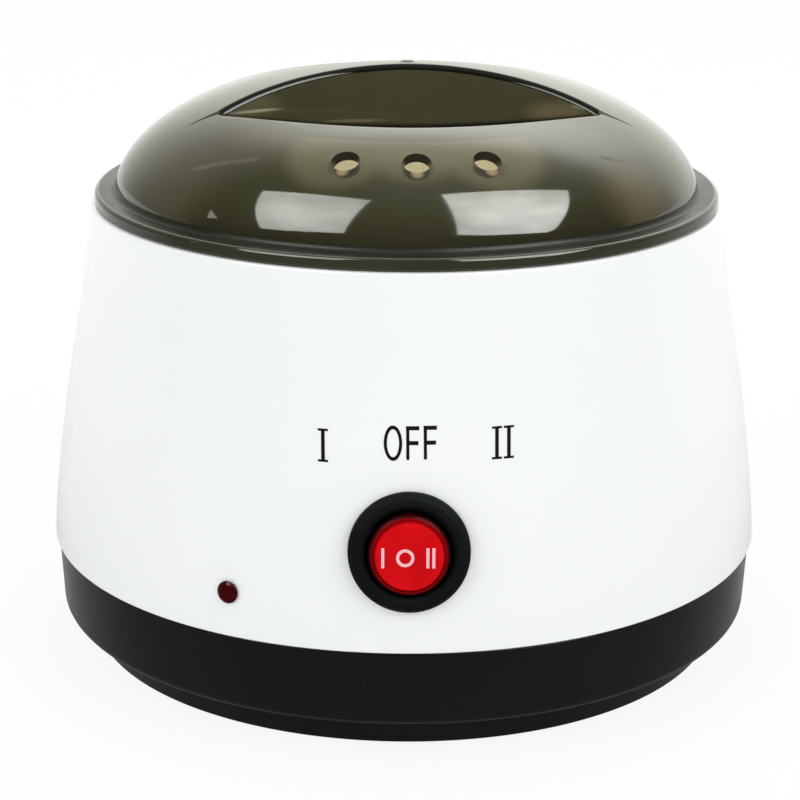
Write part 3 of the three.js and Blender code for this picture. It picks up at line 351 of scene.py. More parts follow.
def combined(body, tools, operation="DIFFERENCE"):
    """The body with the tools cut out of it, or joined to it."""
    solid = mesh_object("loose", body)
    cutters = [mesh_object("loose", tool) for tool in tools]
    for cutter in cutters:
        modifier = solid.modifiers.new("cut", "BOOLEAN")
        modifier.solver = "EXACT"
        modifier.operation = operation
        modifier.object = cutter
    mesh = bpy.data.meshes.new_from_object(solid.evaluated_get(bpy.context.evaluated_depsgraph_get()))
    result = bmesh.new()
    result.from_mesh(mesh)
    for obj in [solid, *cutters]:
        own_mesh = obj.data
        bpy.data.objects.remove(obj)
        bpy.data.meshes.remove(own_mesh)
    bpy.data.meshes.remove(mesh)
    return result


def finished(name, bm, materials, body, replaced=(), sharp=32):
    """Makes the named piece in metres, with its finish, and lets it ride on its body."""
    bmesh.ops.scale(bm, vec=(MM, MM, MM), verts=bm.verts)
    piece = mesh_object(name, bm, materials)
    piece.data.shade_smooth()
    piece.data.set_sharp_from_angle(angle=math.radians(sharp))
    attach(piece, body)
    if replaced:
        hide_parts(*replaced)
    return piece


# Materials

def node(tree, kind, links=(), **values):
    """A shader node with its values set and its inputs linked, as (input, output socket) pairs."""
    made = tree.nodes.new(kind)
    for key, value in values.items():
        setattr(made, key, value)
    for name, source in links:
        tree.links.new(source, made.inputs[name])
    return made


def maths(tree, operation, *values):
    """A sum, product or the like of sockets and plain numbers."""
    made = node(tree, "ShaderNodeMath", operation=operation)
    for i, value in enumerate(values):
        if isinstance(value, (int, float)):
            made.inputs[i].default_value = value
        else:
            tree.links.new(value, made.inputs[i])
    return made.outputs["Value"]


def ranged(tree, source, low, high, at_low=0, at_high=1, kind="SMOOTHSTEP"):
    """Maps a range of values onto another one, and stays level outside it."""
    fall = node(tree, "ShaderNodeMapRange", [("Value", source)], interpolation_type=kind)
    for name, value in (("From Min", low), ("From Max", high), ("To Min", at_low), ("To Max", at_high)):
        fall.inputs[name].default_value = value
    return fall.outputs["Result"]


def mixed(tree, share, first, second):
    """A shader between two others."""
    return node(tree, "ShaderNodeMixShader", [(0, share), (1, first), (2, second)]).outputs["Shader"]


def own_place(tree):
    """The piece's own coordinates, in metres."""
    return node(tree, "ShaderNodeTexCoord").outputs["Object"]


def axes_of(tree, source):
    return node(tree, "ShaderNodeSeparateXYZ", [("Vector", source)]).outputs


def length_of(tree, source):
    return node(tree, "ShaderNodeVectorMath", [("Vector", source)], operation="LENGTH").outputs["Value"]


def plastic(name, colour, roughness, metallic=0.0, level=0.5):
    """A material on one Principled shader, without a pattern yet."""
    material = bpy.data.materials.new(name)
    material.use_nodes = True
    shader = material.node_tree.nodes["Principled BSDF"]
    shader.inputs["Base Color"].default_value = (*colour, 1)
    shader.inputs["Roughness"].default_value = roughness
    shader.inputs["Metallic"].default_value = metallic
    shader.inputs["Specular IOR Level"].default_value = level
    return material, shader


def bare_material(name):
    """A material without nodes yet, and its tree."""
    material = bpy.data.materials.new(name)
    material.use_nodes = True
    material.node_tree.nodes.clear()
    return material, material.node_tree


def object_noise(tree, scale, detail=4.0, stretch=(1, 1, 1)):
    """Noise in the piece's own coordinates. Scale is per metre."""
    mapping = node(tree, "ShaderNodeMapping", [("Vector", own_place(tree))])
    mapping.inputs["Scale"].default_value = stretch
    noise = node(tree, "ShaderNodeTexNoise", [("Vector", mapping.outputs["Vector"])])
    noise.inputs["Scale"].default_value = scale
    noise.inputs["Detail"].default_value = detail
    return noise.outputs["Fac"]


def spread(tree, source, low, high):
    """Maps a pattern's 0.3 to 0.7 onto a range."""
    return ranged(tree, source, 0.3, 0.7, low, high, "LINEAR")


def times(colour, share):
    return tuple(share * channel for channel in colour)


def varied(shader, colour_low, colour_high, colour_scale, rough_low, rough_high, rough_scale):
    """Lets the colour and the gloss drift a little over the surface."""
    tree = shader.id_data
    drift = spread(tree, object_noise(tree, colour_scale), 0, 1)
    mix = node(tree, "ShaderNodeMix", [("Factor", drift)], data_type="RGBA")
    mix.inputs[6].default_value = (*colour_low, 1)
    mix.inputs[7].default_value = (*colour_high, 1)
    tree.links.new(mix.outputs[2], shader.inputs["Base Color"])
    rough = spread(tree, object_noise(tree, rough_scale, 6), rough_low, rough_high)
    tree.links.new(rough, shader.inputs["Roughness"])


def grained(shader, height, strength, depth):
    """Adds relief from a pattern, with its depth in metres."""
    tree = shader.id_data
    bump = node(tree, "ShaderNodeBump", [("Height", height)])
    bump.inputs["Strength"].default_value = strength
    bump.inputs["Distance"].default_value = depth
    tree.links.new(bump.outputs["Normal"], shader.inputs["Normal"])


def near_point(tree, centre, inner, outer):
    """1 within an inner radius of a point, falling to 0 at an outer one, all in millimetres."""
    away = node(tree, "ShaderNodeVectorMath", [(0, own_place(tree))], operation="DISTANCE")
    away.inputs[1].default_value = [MM * value for value in centre]
    return ranged(tree, away.outputs["Value"], inner * MM, outer * MM, 1, 0)


def near_oval(tree, centre, radii):
    """1 in the middle of an oval, falling to 0 at its surface, all in millimetres."""
    mapping = node(tree, "ShaderNodeMapping", [("Vector", own_place(tree))])
    mapping.inputs["Scale"].default_value = [1 / (MM * radius) for radius in radii]
    mapping.inputs["Location"].default_value = [-at / radius for at, radius in zip(centre, radii)]
    return ranged(tree, length_of(tree, mapping.outputs["Vector"]), 0.3, 1, 1, 0)


def above(tree, low, high):
    """0 under a low height, rising to 1 at a high one, in millimetres."""
    return ranged(tree, axes_of(tree, own_place(tree))["Z"], low * MM, high * MM)


def overlaid(shader, share, colour):
    """Lays another colour over the present pattern, by a share that varies over the piece."""
    tree = shader.id_data
    below = shader.inputs["Base Color"].links[0].from_socket
    mix = node(tree, "ShaderNodeMix", [("Factor", share), (6, below)], data_type="RGBA")
    mix.inputs[7].default_value = (*colour, 1)
    tree.links.new(mix.outputs[2], shader.inputs["Base Color"])


def axis_rings(tree, scale):
    """Fine rings round the Z axis, as a lathe leaves them. Scale is rings per metre."""
    place = own_place(tree)
    flat = node(tree, "ShaderNodeMapping", [("Vector", place)])
    flat.inputs["Scale"].default_value = (1, 1, 0)
    total = maths(tree, "ADD", length_of(tree, flat.outputs["Vector"]), axes_of(tree, place)["Z"])
    noise = node(tree, "ShaderNodeTexNoise", [("W", total)], noise_dimensions="1D")
    noise.inputs["Scale"].default_value = scale
    noise.inputs["Detail"].default_value = 3
    return noise.outputs["Fac"]


def white_moulding():
    material, shader = plastic("glossy white moulding", (0.9, 0.915, 0.91), 0.2, level=0.4)
    varied(shader, (0.876, 0.907, 0.897), (0.896, 0.922, 0.914), 14, 0.17, 0.24, 60)
    grained(shader, object_noise(material.node_tree, 260), 0.04, 0.00002)
    return material


def black_moulding():
    material, shader = plastic("satin black moulding", (0.004, 0.0052, 0.0046), 0.24, level=0.35)
    varied(shader, (0.0042, 0.0062, 0.0054), (0.006, 0.0082, 0.0073), 30, 0.2, 0.28, 150)
    grained(shader, object_noise(material.node_tree, 2600, 2), 0.04, 0.00001)
    return material


def bezel_moulding():
    colour = (0.0048, 0.0064, 0.0057)
    material, shader = plastic("fine-grained black switch moulding", colour, 0.6, level=0.04)
    varied(shader, (0.0042, 0.0057, 0.005), (0.0056, 0.0074, 0.0066), 60, 0.54, 0.66, 300)
    grained(shader, object_noise(material.node_tree, 3600, 2), 0.1, 0.00001)
    return material


def smoked_clear(name, colour, sight, light, level=0.55):
    """Smoked clear plastic. Sight is the share seen through it, and light what lamps send through."""
    material, shader = plastic(name, colour, 0.05, level=level)
    tree = material.node_tree
    varied(shader, times(colour, 0.88), times(colour, 1.14), 45, 0.035, 0.07, 90)
    grained(shader, object_noise(tree, 120, 2), 0.05, 0.00003)
    clear = node(tree, "ShaderNodeBsdfTransparent")
    clear.inputs["Color"].default_value = (1, 0.95, 0.78, 1)
    rays = node(tree, "ShaderNodeLightPath").outputs
    lit = maths(tree, "MAXIMUM", rays["Is Shadow Ray"], rays["Is Diffuse Ray"])
    share = ranged(tree, lit, 0, 1, 1 - sight, 1 - light, "LINEAR")
    surface = mixed(tree, share, clear.outputs["BSDF"], shader.outputs["BSDF"])
    tree.links.new(surface, tree.nodes["Material Output"].inputs["Surface"])
    return material, shader


# Patches of painted light on the dome, where light falls through its sides: middle, inner and outer radius,
# and colour
DOME_GLOWS = [((-44, -34, 104), 3, 17, (0.066, 0.057, 0.03)),
              ((-48, -14, 110), 5, 20, (0.085, 0.083, 0.042)),
              ((43, -36, 102.5), 3, 13, (0.096, 0.081, 0.039)),
              ((52, -20, 106), 4, 15, (0.084, 0.084, 0.04))]


def smoked_dome():
    """The dome is paler towards its top and warmer in patches at its sides, painted light for the light that
    falls through it; each vent has painted shade round it and a spot of painted light just below it.
    """
    material, shader = smoked_clear("smoked clear plastic", (0.029, 0.028, 0.0145), 0.08, 0.95)
    tree = material.node_tree
    # Painted light: the dome is paler towards its top, where light falls through it
    overlaid(shader, above(tree, 97, 106), (0.044, 0.044, 0.022))
    overlaid(shader, above(tree, 106.5, 115), (0.084, 0.08, 0.037))
    # Patches of painted light at the dome's sides
    for middle, inner, outer, colour in DOME_GLOWS:
        overlaid(shader, near_point(tree, middle, inner, outer), colour)
    # Painted shade round each vent, and a spot of painted light just below it
    for azimuth in VENT_AZIMUTHS:
        turned = azimuth + math.degrees(LID_TURN)
        shade = near_point(tree, (*polar(49.5, turned), 110.2), 2.7, 3.5)
        overlaid(shader, shade, (0.02, 0.02, 0.01))
        spot = near_point(tree, (*polar(50.7, turned), 109.4), 0.5, 1.6)
        overlaid(shader, spot, (0.34, 0.24, 0.13))
    return material


# Streaks of light in the front scoop's wall: the middle and the half sizes of each, and its colour
WALL_STREAKS = [((-32, -12.5, 114.8), (10, 8, 3), (0.115, 0.11, 0.062)),
                ((-31, -12, 113.8), (8, 7, 0.45), (0.36, 0.34, 0.24)),
                ((-12, -5.8, 110.6), (11, 4, 0.45), (0.16, 0.14, 0.085)),
                ((30, -11.8, 113.2), (10, 8, 3.4), (0.15, 0.125, 0.065)),
                ((36, -15, 115), (5, 6, 0.8), (0.4, 0.38, 0.27))]


def near_floor(tree):
    """1 on the lowest part of a scoop's wall, which gets painted shade, with an upper limit that rises
    towards the scoop's tips.
    """
    axes = axes_of(tree, own_place(tree))
    height = maths(tree, "MULTIPLY_ADD", maths(tree, "MULTIPLY", axes["X"], axes["X"]), -3.0, axes["Z"])
    return ranged(tree, height, 109.2 * MM, 110.2 * MM, 1, 0)


def smoked_wall():
    """The scoops' walls, paler than the dome's lower part as painted light through them, with faint upright
    streaks of painted light, a few pale ones near the floor, and painted shade along their lowest part.
    """
    material, shader = smoked_clear("smoked plastic of the scoops", (0.062, 0.063, 0.035), 0.05, 0.8, 0.3)
    tree = material.node_tree
    # Faint upright streaks of painted light
    streaks = spread(tree, object_noise(tree, 150, 2, (1, 0.4, 0.12)), 0, 0.6)
    overlaid(shader, streaks, (0.08, 0.068, 0.04))
    for centre, radii, colour in WALL_STREAKS:
        overlaid(shader, near_oval(tree, centre, radii), colour)
    # Painted shade along the lowest part of the wall
    overlaid(shader, near_floor(tree), (0.008, 0.008, 0.006))
    return material


def smoked_rim():
    """The flange's edge, which hardly lets light through."""
    return smoked_clear("rim of smoked plastic", (0.034, 0.0335, 0.0215), 0.02, 0.15, 0.35)[0]


def smoked_ledge():
    """The flange's upper side and the creases, duller and darker than the dome; in the creases the darker
    colour is painted shade.
    """
    material, shader = smoked_clear("ledge of smoked plastic", (0.019, 0.02, 0.014), 0.02, 0.15, 0.12)
    rough = spread(material.node_tree, object_noise(material.node_tree, 90, 6), 0.26, 0.34)
    material.node_tree.links.new(rough, shader.inputs["Roughness"])
    return material


def smoked_inside():
    """The lid's inner face, pale behind the vents where light falls on the front scoop's wall."""
    material, shader = smoked_clear("inner face of smoked plastic", (0.04, 0.0385, 0.0145), 0.08, 0.8)
    tree = material.node_tree
    for x in (-13, 1, 15):
        overlaid(shader, near_point(tree, (x, -38.5, 106), 9, 13), (0.93, 0.92, 0.8))
    return material


def red_moulding():
    material, shader = plastic("translucent red rocker", (0.62, 0.003, 0.006), 0.3, level=0.03)
    varied(shader, (0.56, 0.0025, 0.005), (0.66, 0.004, 0.008), 180, 0.26, 0.36, 400)
    # Painted shade: the rim round the rocker's face is darkened to a near-black red
    face = SWITCH_FRAME @ Vector((0, 0, ROCKER_FACE))
    rim = maths(material.node_tree, "SUBTRACT", 1, near_point(material.node_tree, face, 6.35, 7.5))
    overlaid(shader, rim, (0.035, 0.001, 0.002))
    shader.inputs["Subsurface Weight"].default_value = 0.15
    shader.inputs["Subsurface Radius"].default_value = (0.003, 0.0005, 0.0004)
    shader.inputs["Subsurface Scale"].default_value = 0.6
    return material


def lamp_glass():
    material, shader = plastic("dark red lamp lens", (0.042, 0.0016, 0.0027), 0.12, level=0.12)
    varied(shader, (0.034, 0.0012, 0.0022), (0.05, 0.002, 0.0034), 500, 0.1, 0.15, 500)
    return material


def spun_metal():
    material, shader = plastic("spun aluminium", (0.72, 0.725, 0.72), 0.3, metallic=1.0)
    varied(shader, (0.66, 0.665, 0.66), (0.76, 0.765, 0.76), 35, 0.29, 0.33, 40)
    grained(shader, axis_rings(material.node_tree, 1400), 0.1, 0.00001)
    return material


def zinc_steel():
    material, shader = plastic("zinc-plated steel", (0.62, 0.63, 0.64), 0.32, metallic=1.0)
    varied(shader, (0.54, 0.55, 0.57), (0.68, 0.685, 0.69), 220, 0.26, 0.4, 500)
    grained(shader, object_noise(material.node_tree, 3000, 3), 0.15, 0.00002)
    return material


def drawn_wire():
    material, shader = plastic("polished drawn wire", (0.7, 0.71, 0.72), 0.16, metallic=1.0)
    varied(shader, (0.65, 0.66, 0.67), (0.74, 0.745, 0.75), 90, 0.12, 0.22, 400)
    grained(shader, object_noise(material.node_tree, 1500, 3, (1, 1, 6)), 0.08, 0.00001)
    return material


def brass_plate():
    material, shader = plastic("stamped brass", (0.66, 0.47, 0.18), 0.3, metallic=1.0)
    varied(shader, (0.56, 0.39, 0.14), (0.72, 0.53, 0.22), 300, 0.24, 0.4, 700)
    return material


def rubber():
    material, shader = plastic("moulded rubber", (0.012, 0.012, 0.012), 0.75, level=0.3)
    varied(shader, (0.009, 0.009, 0.009), (0.018, 0.018, 0.017), 200, 0.65, 0.85, 300)
    grained(shader, object_noise(material.node_tree, 2500, 4), 0.3, 0.00004)
    return material


def mica_band():
    material, shader = plastic("mica and glass cloth", (0.34, 0.26, 0.15), 0.7, level=0.3)
    tree = material.node_tree
    varied(shader, (0.27, 0.2, 0.11), (0.42, 0.33, 0.2), 160, 0.55, 0.8, 300)
    weave = node(tree, "ShaderNodeTexWave", [("Vector", own_place(tree))], bands_direction="Z")
    weave.inputs["Scale"].default_value = 260
    weave.inputs["Distortion"].default_value = 2
    grained(shader, weave.outputs["Fac"], 0.4, 0.0001)
    return material


def nylon():
    material, shader = plastic("natural nylon", (0.74, 0.72, 0.65), 0.45, level=0.4)
    varied(shader, (0.7, 0.675, 0.6), (0.78, 0.765, 0.7), 120, 0.38, 0.52, 300)
    shader.inputs["Subsurface Weight"].default_value = 0.1
    shader.inputs["Subsurface Radius"].default_value = (0.002, 0.0018, 0.0015)
    return material


def insulation(name, colour):
    material, shader = plastic(name, colour, 0.4, level=0.35)
    varied(shader, times(colour, 0.85), times(colour, 1.12), 180, 0.34, 0.5, 400)
    grained(shader, object_noise(material.node_tree, 1800, 2), 0.12, 0.00002)
    return material


def printed_ink(name, colour, roughness):
    material, shader = plastic(name, colour, roughness, level=0.1)
    rough = (roughness - 0.05, roughness + 0.08)
    varied(shader, times(colour, 0.9), times(colour, 1.08), 900, *rough, 1200)
    return material


WHITE = white_moulding()
BLACK = black_moulding()
BEZEL = bezel_moulding()
SMOKED = smoked_dome()
# The vents' bores and the scoops' rounded edges get this nearly black finish, which is painted shade
SMOKED_EDGE = smoked_clear("edge of smoked plastic", (0.006, 0.006, 0.005), 0.02, 0.7, 0.3)[0]
SMOKED_RIM = smoked_rim()
SMOKED_LEDGE = smoked_ledge()
SMOKED_WALL = smoked_wall()
SMOKED_INSIDE = smoked_inside()
RED = red_moulding()
LAMP = lamp_glass()
ALUMINIUM = spun_metal()
STEEL = zinc_steel()
WIRE = drawn_wire()
BRASS = brass_plate()
RUBBER = rubber()
MICA = mica_band()
NYLON = nylon()
BROWN_WIRE = insulation("brown wire insulation", (0.1, 0.042, 0.018))
RED_WIRE = insulation("red wire insulation", (0.33, 0.015, 0.015))
BLUE_WIRE = insulation("blue wire insulation", (0.022, 0.075, 0.3))
BLACK_INK = printed_ink("black pad print", (0.004, 0.004, 0.005), 0.5)
PINK_INK = printed_ink("pale moulded marks", (0.9, 0.5, 0.55), 0.3)


# White housing

def housing_side():
    points = [(SEAM_R - inward * (SEAM_R - SHOULDER_R), SEAM_Z + up * HOUSING_H)
              for inward, up in SIDE_SHARES]
    return [tuple(point) for point in smooth_curve(points, 8)]


HOUSING_SIDE = housing_side()


def housing_radius(z):
    """The housing's outer radius at a height."""
    for (r_low, z_low), (r_high, z_high) in zip(HOUSING_SIDE, HOUSING_SIDE[1:]):
        if z <= z_high:
            return r_low + (r_high - r_low) * (z - z_low) / (z_high - z_low)
    return HOUSING_SIDE[-1][0]


def wall_boss(azimuth, radius, bottom, top, bore):
    """A hanging boss with a rib to the wall, and the tool for its bore."""
    rib_bottom = max(bottom, top - 10)
    reach = housing_radius(top) - HOUSING_WALL / 2
    turn = Matrix.Rotation(math.radians(azimuth), 4, "Z")
    post = drum(radius, bottom, top, 32, on_circle(SCREW_CIRCLE, azimuth))
    rib = brick((-1.1, -reach, rib_bottom), (1.1, -SCREW_CIRCLE, top), turn)
    tool = drum(bore, bottom - 1, bottom + 17, 24, on_circle(SCREW_CIRCLE, azimuth))
    return post, rib, tool


def build_housing():
    side = HOUSING_SIDE
    inside_top = [(radius - HOUSING_WALL, height) for radius, height in side if height < LIP_BOTTOM - 1]
    corners = [(side[0][0], side[0][1], 0.35)]
    corners += side[1:-1]
    corners += [
        (side[-1][0], side[-1][1], 0.5),
        (RECESS_R, HOUSING_TOP, 0.3),
        (RECESS_R, LIP_TOP, 0.3),
        (LIP_HOLE_R, LIP_TOP, 0.4),
        (LIP_HOLE_R, LIP_BOTTOM, 0.4),
        (housing_radius(LIP_BOTTOM) - HOUSING_WALL, LIP_BOTTOM, 0.8),
    ]
    corners += inside_top[::-1]
    shell = spun(filleted(corners), 256)
    bosses = [wall_boss(azimuth, *BASE_BOSS) for azimuth in SCREW_AZIMUTHS]
    bosses += [wall_boss(azimuth, *SIDE_BOSS) for azimuth in SIDE_BOSS_AZIMUTHS]
    posts, ribs, bores = zip(*bosses)
    joined = combined(shell, [merged(posts), merged(ribs)], "UNION")
    return combined(joined, [
        merged(bores),
        drum(SWITCH_SEAT_R, -1.2, 12, 96, SWITCH_FRAME),
        drum(SWITCH_HOLE_R, -12, 2, 96, SWITCH_FRAME),
        drum(LAMP_HOLE_R, -8, 6, 48, LAMP_FRAME),
    ])


finished("housing_shell", build_housing(), [WHITE], "housing", ["upper_housing"], 30)


# Black base

def build_base():
    shelf = BAND_BOTTOM + 2.2
    round_centre = BAND_R - BAND_ROUND
    corners = [
        (0, FLOOR_BOTTOM),
        (FOOT_RING_INNER, FLOOR_BOTTOM, 0.5),
        (FOOT_RING_INNER, FOOT_RING_BOTTOM, 0.4),
        (FOOT_RING_R, FOOT_RING_BOTTOM, 0.5),
        (UNDERCUT_R, BAND_BOTTOM, 0.6),
        (BAND_R, BAND_BOTTOM, BAND_ROUND),
        (BAND_TOP_R, BAND_TOP, 0.3),
        (RIM_OUTER, BAND_TOP, 0.2),
        (RIM_OUTER, RIM_TOP, 0.4),
        (RIM_INNER, RIM_TOP, 0.4),
        (BAND_R - 2.6, shelf + BAND_ROUND / 2, 0.8),
        (round_centre, shelf, 0.8),
        (UNDERCUT_R - 2.2, shelf, 0.4),
        (UNDERCUT_R - 2.2, FLOOR_TOP, 0.8),
        (0, FLOOR_TOP),
    ]
    tub = spun(filleted(corners), 256)
    cups = [drum(CUP_R, FLOOR_TOP - 1, CUP_TOP, 48, on_circle(SCREW_CIRCLE, azimuth))
            for azimuth in SCREW_AZIMUTHS]
    pad = brick((*BLOCK_PAD_LOW, FLOOR_TOP - 1), (*BLOCK_PAD_HIGH, FLOOR_TOP + 4))
    tub = combined(tub, [merged([*cups, pad])], "UNION")
    wide = [drum(SCREW_HEAD_HOLE_R, FLOOR_BOTTOM - 1, SCREW_SEAT, 48, on_circle(SCREW_CIRCLE, azimuth))
            for azimuth in SCREW_AZIMUTHS]
    narrow = [drum(SCREW_SHANK_HOLE_R, FLOOR_BOTTOM, CUP_TOP + 1, 32, on_circle(SCREW_CIRCLE, azimuth))
              for azimuth in SCREW_AZIMUTHS]
    feet = [drum(FOOT_POCKET_R, FLOOR_BOTTOM - 1, FLOOR_BOTTOM + 0.8, 64, on_circle(FOOT_CIRCLE, azimuth))
            for azimuth in FOOT_AZIMUTHS]
    slots = [slot_tool(azimuth) for azimuth in range(0, 360, 45) if azimuth != 180]
    hole = drum(GLAND_HOLE_R, -19, 2, 64, GLAND_FRAME)
    screw_bore = drum(1.4, FLOOR_TOP - 0.5, FLOOR_TOP + 6, 24, Matrix.Translation((0, BLOCK_SCREW_Y, 0)))
    return combined(tub, [merged([*wide, *feet]), merged([*narrow, *slots]), merged([hole, screw_bore])])


def slot_tool(azimuth):
    """A vent slot with round ends, 3 mm wide, from 26 to 44 mm out."""
    bm = brick((-1.5, -44, FLOOR_BOTTOM - 1), (1.5, -26, FLOOR_TOP + 1),
               Matrix.Rotation(math.radians(azimuth), 4, "Z"))
    upright = [edge for edge in bm.edges if abs(edge.verts[0].co.z - edge.verts[1].co.z) > 1]
    bmesh.ops.bevel(bm, geom=upright, offset=1.4, segments=6, profile=0.5, affect="EDGES", material=-1)
    return bm


finished("base_tub", build_base(), [BLACK], "housing", ["base_shell"], 30)


# Lid

def dome_height(radius):
    """The dome's outer height at a radius."""
    share = min(1.0, radius / DOME_R)
    return DOME_BASE + DOME_RISE * (1 - share ** DOME_RADIUS_EXPONENT) ** (1 / DOME_RISE_EXPONENT)


def dome_point(angle, inward=0.0):
    """A profile point of the dome, at an angle from its widest circle up to its top, moved in by a wall."""
    radius = DOME_R * math.cos(angle) ** (2 / DOME_RADIUS_EXPONENT)
    share = math.sin(angle) ** (2 / DOME_RISE_EXPONENT)
    slope_r = DOME_RADIUS_EXPONENT / DOME_R * (radius / DOME_R) ** (DOME_RADIUS_EXPONENT - 1)
    slope_z = DOME_RISE_EXPONENT / DOME_RISE * share ** (DOME_RISE_EXPONENT - 1)
    length = math.hypot(slope_r, slope_z)
    return (radius - inward * slope_r / length, DOME_BASE + DOME_RISE * share - inward * slope_z / length)


def dome_normal(point):
    radius = math.hypot(point.x, point.y)
    share = max(0.0, (point.z - DOME_BASE) / DOME_RISE)
    out = DOME_RADIUS_EXPONENT / DOME_R * (radius / DOME_R) ** (DOME_RADIUS_EXPONENT - 1)
    up = DOME_RISE_EXPONENT / DOME_RISE * share ** (DOME_RISE_EXPONENT - 1)
    return Vector((out * point.x / radius, out * point.y / radius, up)).normalized()


def scoop_outline(inset):
    """Plan outline of the front scoop, moved in by an inset, with equal steps and rounded tips."""
    length = SCOOP_HALF_LENGTH - inset
    reach = SCOOP_REACH - inset

    def front_at(x):
        return -reach * max(0.0, 1 - (abs(x) / length) ** 2) ** SCOOP_FRONT_POWER

    def back_at(x):
        return -(GRIP_HALF_WIDTH + inset + GRIP_SIDE_R - math.sqrt(GRIP_SIDE_R ** 2 - x ** 2))

    inside, outside = 0.0, length
    for _ in range(40):
        middle = (inside + outside) / 2
        if front_at(middle) < back_at(middle):
            inside = middle
        else:
            outside = middle
    fine = [-math.cos(math.pi * i / 200) * inside for i in range(201)]
    dense = [Vector((x, front_at(x))) for x in fine[:-1]]
    dense += [Vector((x, back_at(x))) for x in reversed(fine[1:])]
    ring = even_ring(dense, SCOOP_COUNT)
    for _ in range(3):
        ring = [(ring[i - 1] + 2 * ring[i] + ring[(i + 1) % SCOOP_COUNT]) / 4 for i in range(SCOOP_COUNT)]
    return ring


def even_ring(points, count):
    """A closed line with equal steps, from its first point."""
    lengths = [(points[(i + 1) % len(points)] - point).length for i, point in enumerate(points)]
    step = sum(lengths) / count
    ring, passed, i = [], 0.0, 0
    for k in range(count):
        while passed + lengths[i] < k * step:
            passed += lengths[i]
            i += 1
        share = (k * step - passed) / lengths[i]
        ring.append(points[i].lerp(points[(i + 1) % len(points)], share))
    return ring


def scoop_levels(grow):
    """Rings of the scoop from its floor's edge up past the dome, as lists of 3-D points."""
    radius = SCOOP_ROUND + grow
    floor = SCOOP_FLOOR - grow
    wall_start = floor + radius
    levels = []
    for step in range(13):
        angle = math.pi / 2 * step / 12
        inset = radius * (1 - math.sin(angle)) + (DOME_TOP - wall_start) * SCOOP_DRAFT - grow
        levels.append((floor + radius * (1 - math.cos(angle)), inset))
    z = wall_start
    while z < DOME_TOP + 3:
        z += 0.6
        levels.append((z, (DOME_TOP - z) * SCOOP_DRAFT - grow))
    return [[Vector((x, y, z)) for x, y in scoop_outline(inset)] for z, inset in levels]


def edge_section(levels, i):
    """The scoop's wall at one place of its outline, ending in a fillet that runs out over the dome."""
    wall = [ring[i] for ring in levels]
    top = next(k for k, point in enumerate(wall) if point.z > dome_height(math.hypot(point.x, point.y)))
    below, above = wall[top - 1], wall[top]
    for _ in range(30):
        middle = (below + above) / 2
        if middle.z > dome_height(math.hypot(middle.x, middle.y)):
            above = middle
        else:
            below = middle
    rim = below
    down = (wall[max(0, top - 2)] - rim).normalized()
    ring = levels[top]
    along = (ring[(i + 1) % SCOOP_COUNT] - ring[i - 1]).normalized()
    away = Vector((along.y, -along.x, 0))
    radius = LIP_EDGE_R + (GRIP_EDGE_R - LIP_EDGE_R) * max(0.0, away.y)
    bevel = GRIP_BEVEL * math.sqrt(max(0.0, away.y)) * (1.5 - 0.85 * away.y)
    normal = dome_normal(rim)
    out = (away - away.dot(normal) * normal).normalized()
    cosine = out.dot(down)
    sine = math.sqrt(1 - cosine ** 2)
    reach = radius / math.tan(out.angle(down) / 2)
    centre = rim + (out + down) * radius / sine
    start = (rim + down * reach - centre).normalized()
    end = (rim + out * reach - centre).normalized()
    sweep = start.angle(end)

    def towards(turn):
        return (start * math.sin(sweep - turn) + end * math.sin(turn)) / math.sin(sweep)

    facing = towards(sweep * BEVEL_SHARE)
    along_bevel = (end - end.dot(facing) * facing).normalized() * bevel
    down_part = (cosine * along_bevel.dot(out) - along_bevel.dot(down)) / sine ** 2
    out_part = (along_bevel.dot(out) - cosine * along_bevel.dot(down)) / sine ** 2
    arc = []
    for centre_now, first, last in ((centre + down * down_part, 0, BEVEL_SHARE),
                                    (centre + out * out_part, BEVEL_SHARE + 0.02, 0.94)):
        arc += [centre_now + radius * towards(sweep * (first + (last - first) * step / ARC_STEPS))
                for step in range(ARC_STEPS + 1)]
    leave = (arc[-1] - arc[-2]).normalized()
    arc.append(arc[-1] + leave * 1.2)
    lower = wall[:top - 1] + [rim + down * (reach + down_part)]
    return lower, arc


def resampled(points, count):
    """A polyline with equal steps."""
    lengths = [(b - a).length for a, b in zip(points, points[1:])]
    total = sum(lengths)
    result, passed, i = [points[0]], 0.0, 0
    for k in range(1, count):
        target = total * k / count
        while passed + lengths[i] < target:
            passed += lengths[i]
            i += 1
        result.append(points[i].lerp(points[i + 1], (target - passed) / lengths[i]))
    return result


def scoop_solid(rings, finishes=()):
    """A closed tool from rings, with a flat face at each end and a finish for each bridge."""
    bm = bmesh.new()
    loops = []
    for ring in rings:
        verts = [bm.verts.new(point) for point in ring]
        loops.append([bm.edges.new((verts[i - 1], verts[i])) for i in range(len(verts))])
    for k, (lower, upper) in enumerate(zip(loops, loops[1:])):
        bridged = bmesh.ops.bridge_loops(bm, edges=lower + upper)
        for face in bridged["faces"]:
            face.material_index = finishes[k] if finishes else 0
    ends = [*bmesh.ops.edgeloop_fill(bm, edges=loops[0])["faces"],
            *bmesh.ops.edgeloop_fill(bm, edges=loops[-1])["faces"]]
    for face in ends:
        face.material_index = finishes[0] if finishes else 0
    bmesh.ops.recalc_face_normals(bm, faces=bm.faces)
    return bm


def both_scoops(bm):
    """Adds the rear scoop, which mirrors the front one."""
    other = bm.copy()
    bmesh.ops.scale(other, vec=(1, -1, 1), verts=other.verts)
    bmesh.ops.recalc_face_normals(other, faces=other.faces)
    return merged([bm, other])


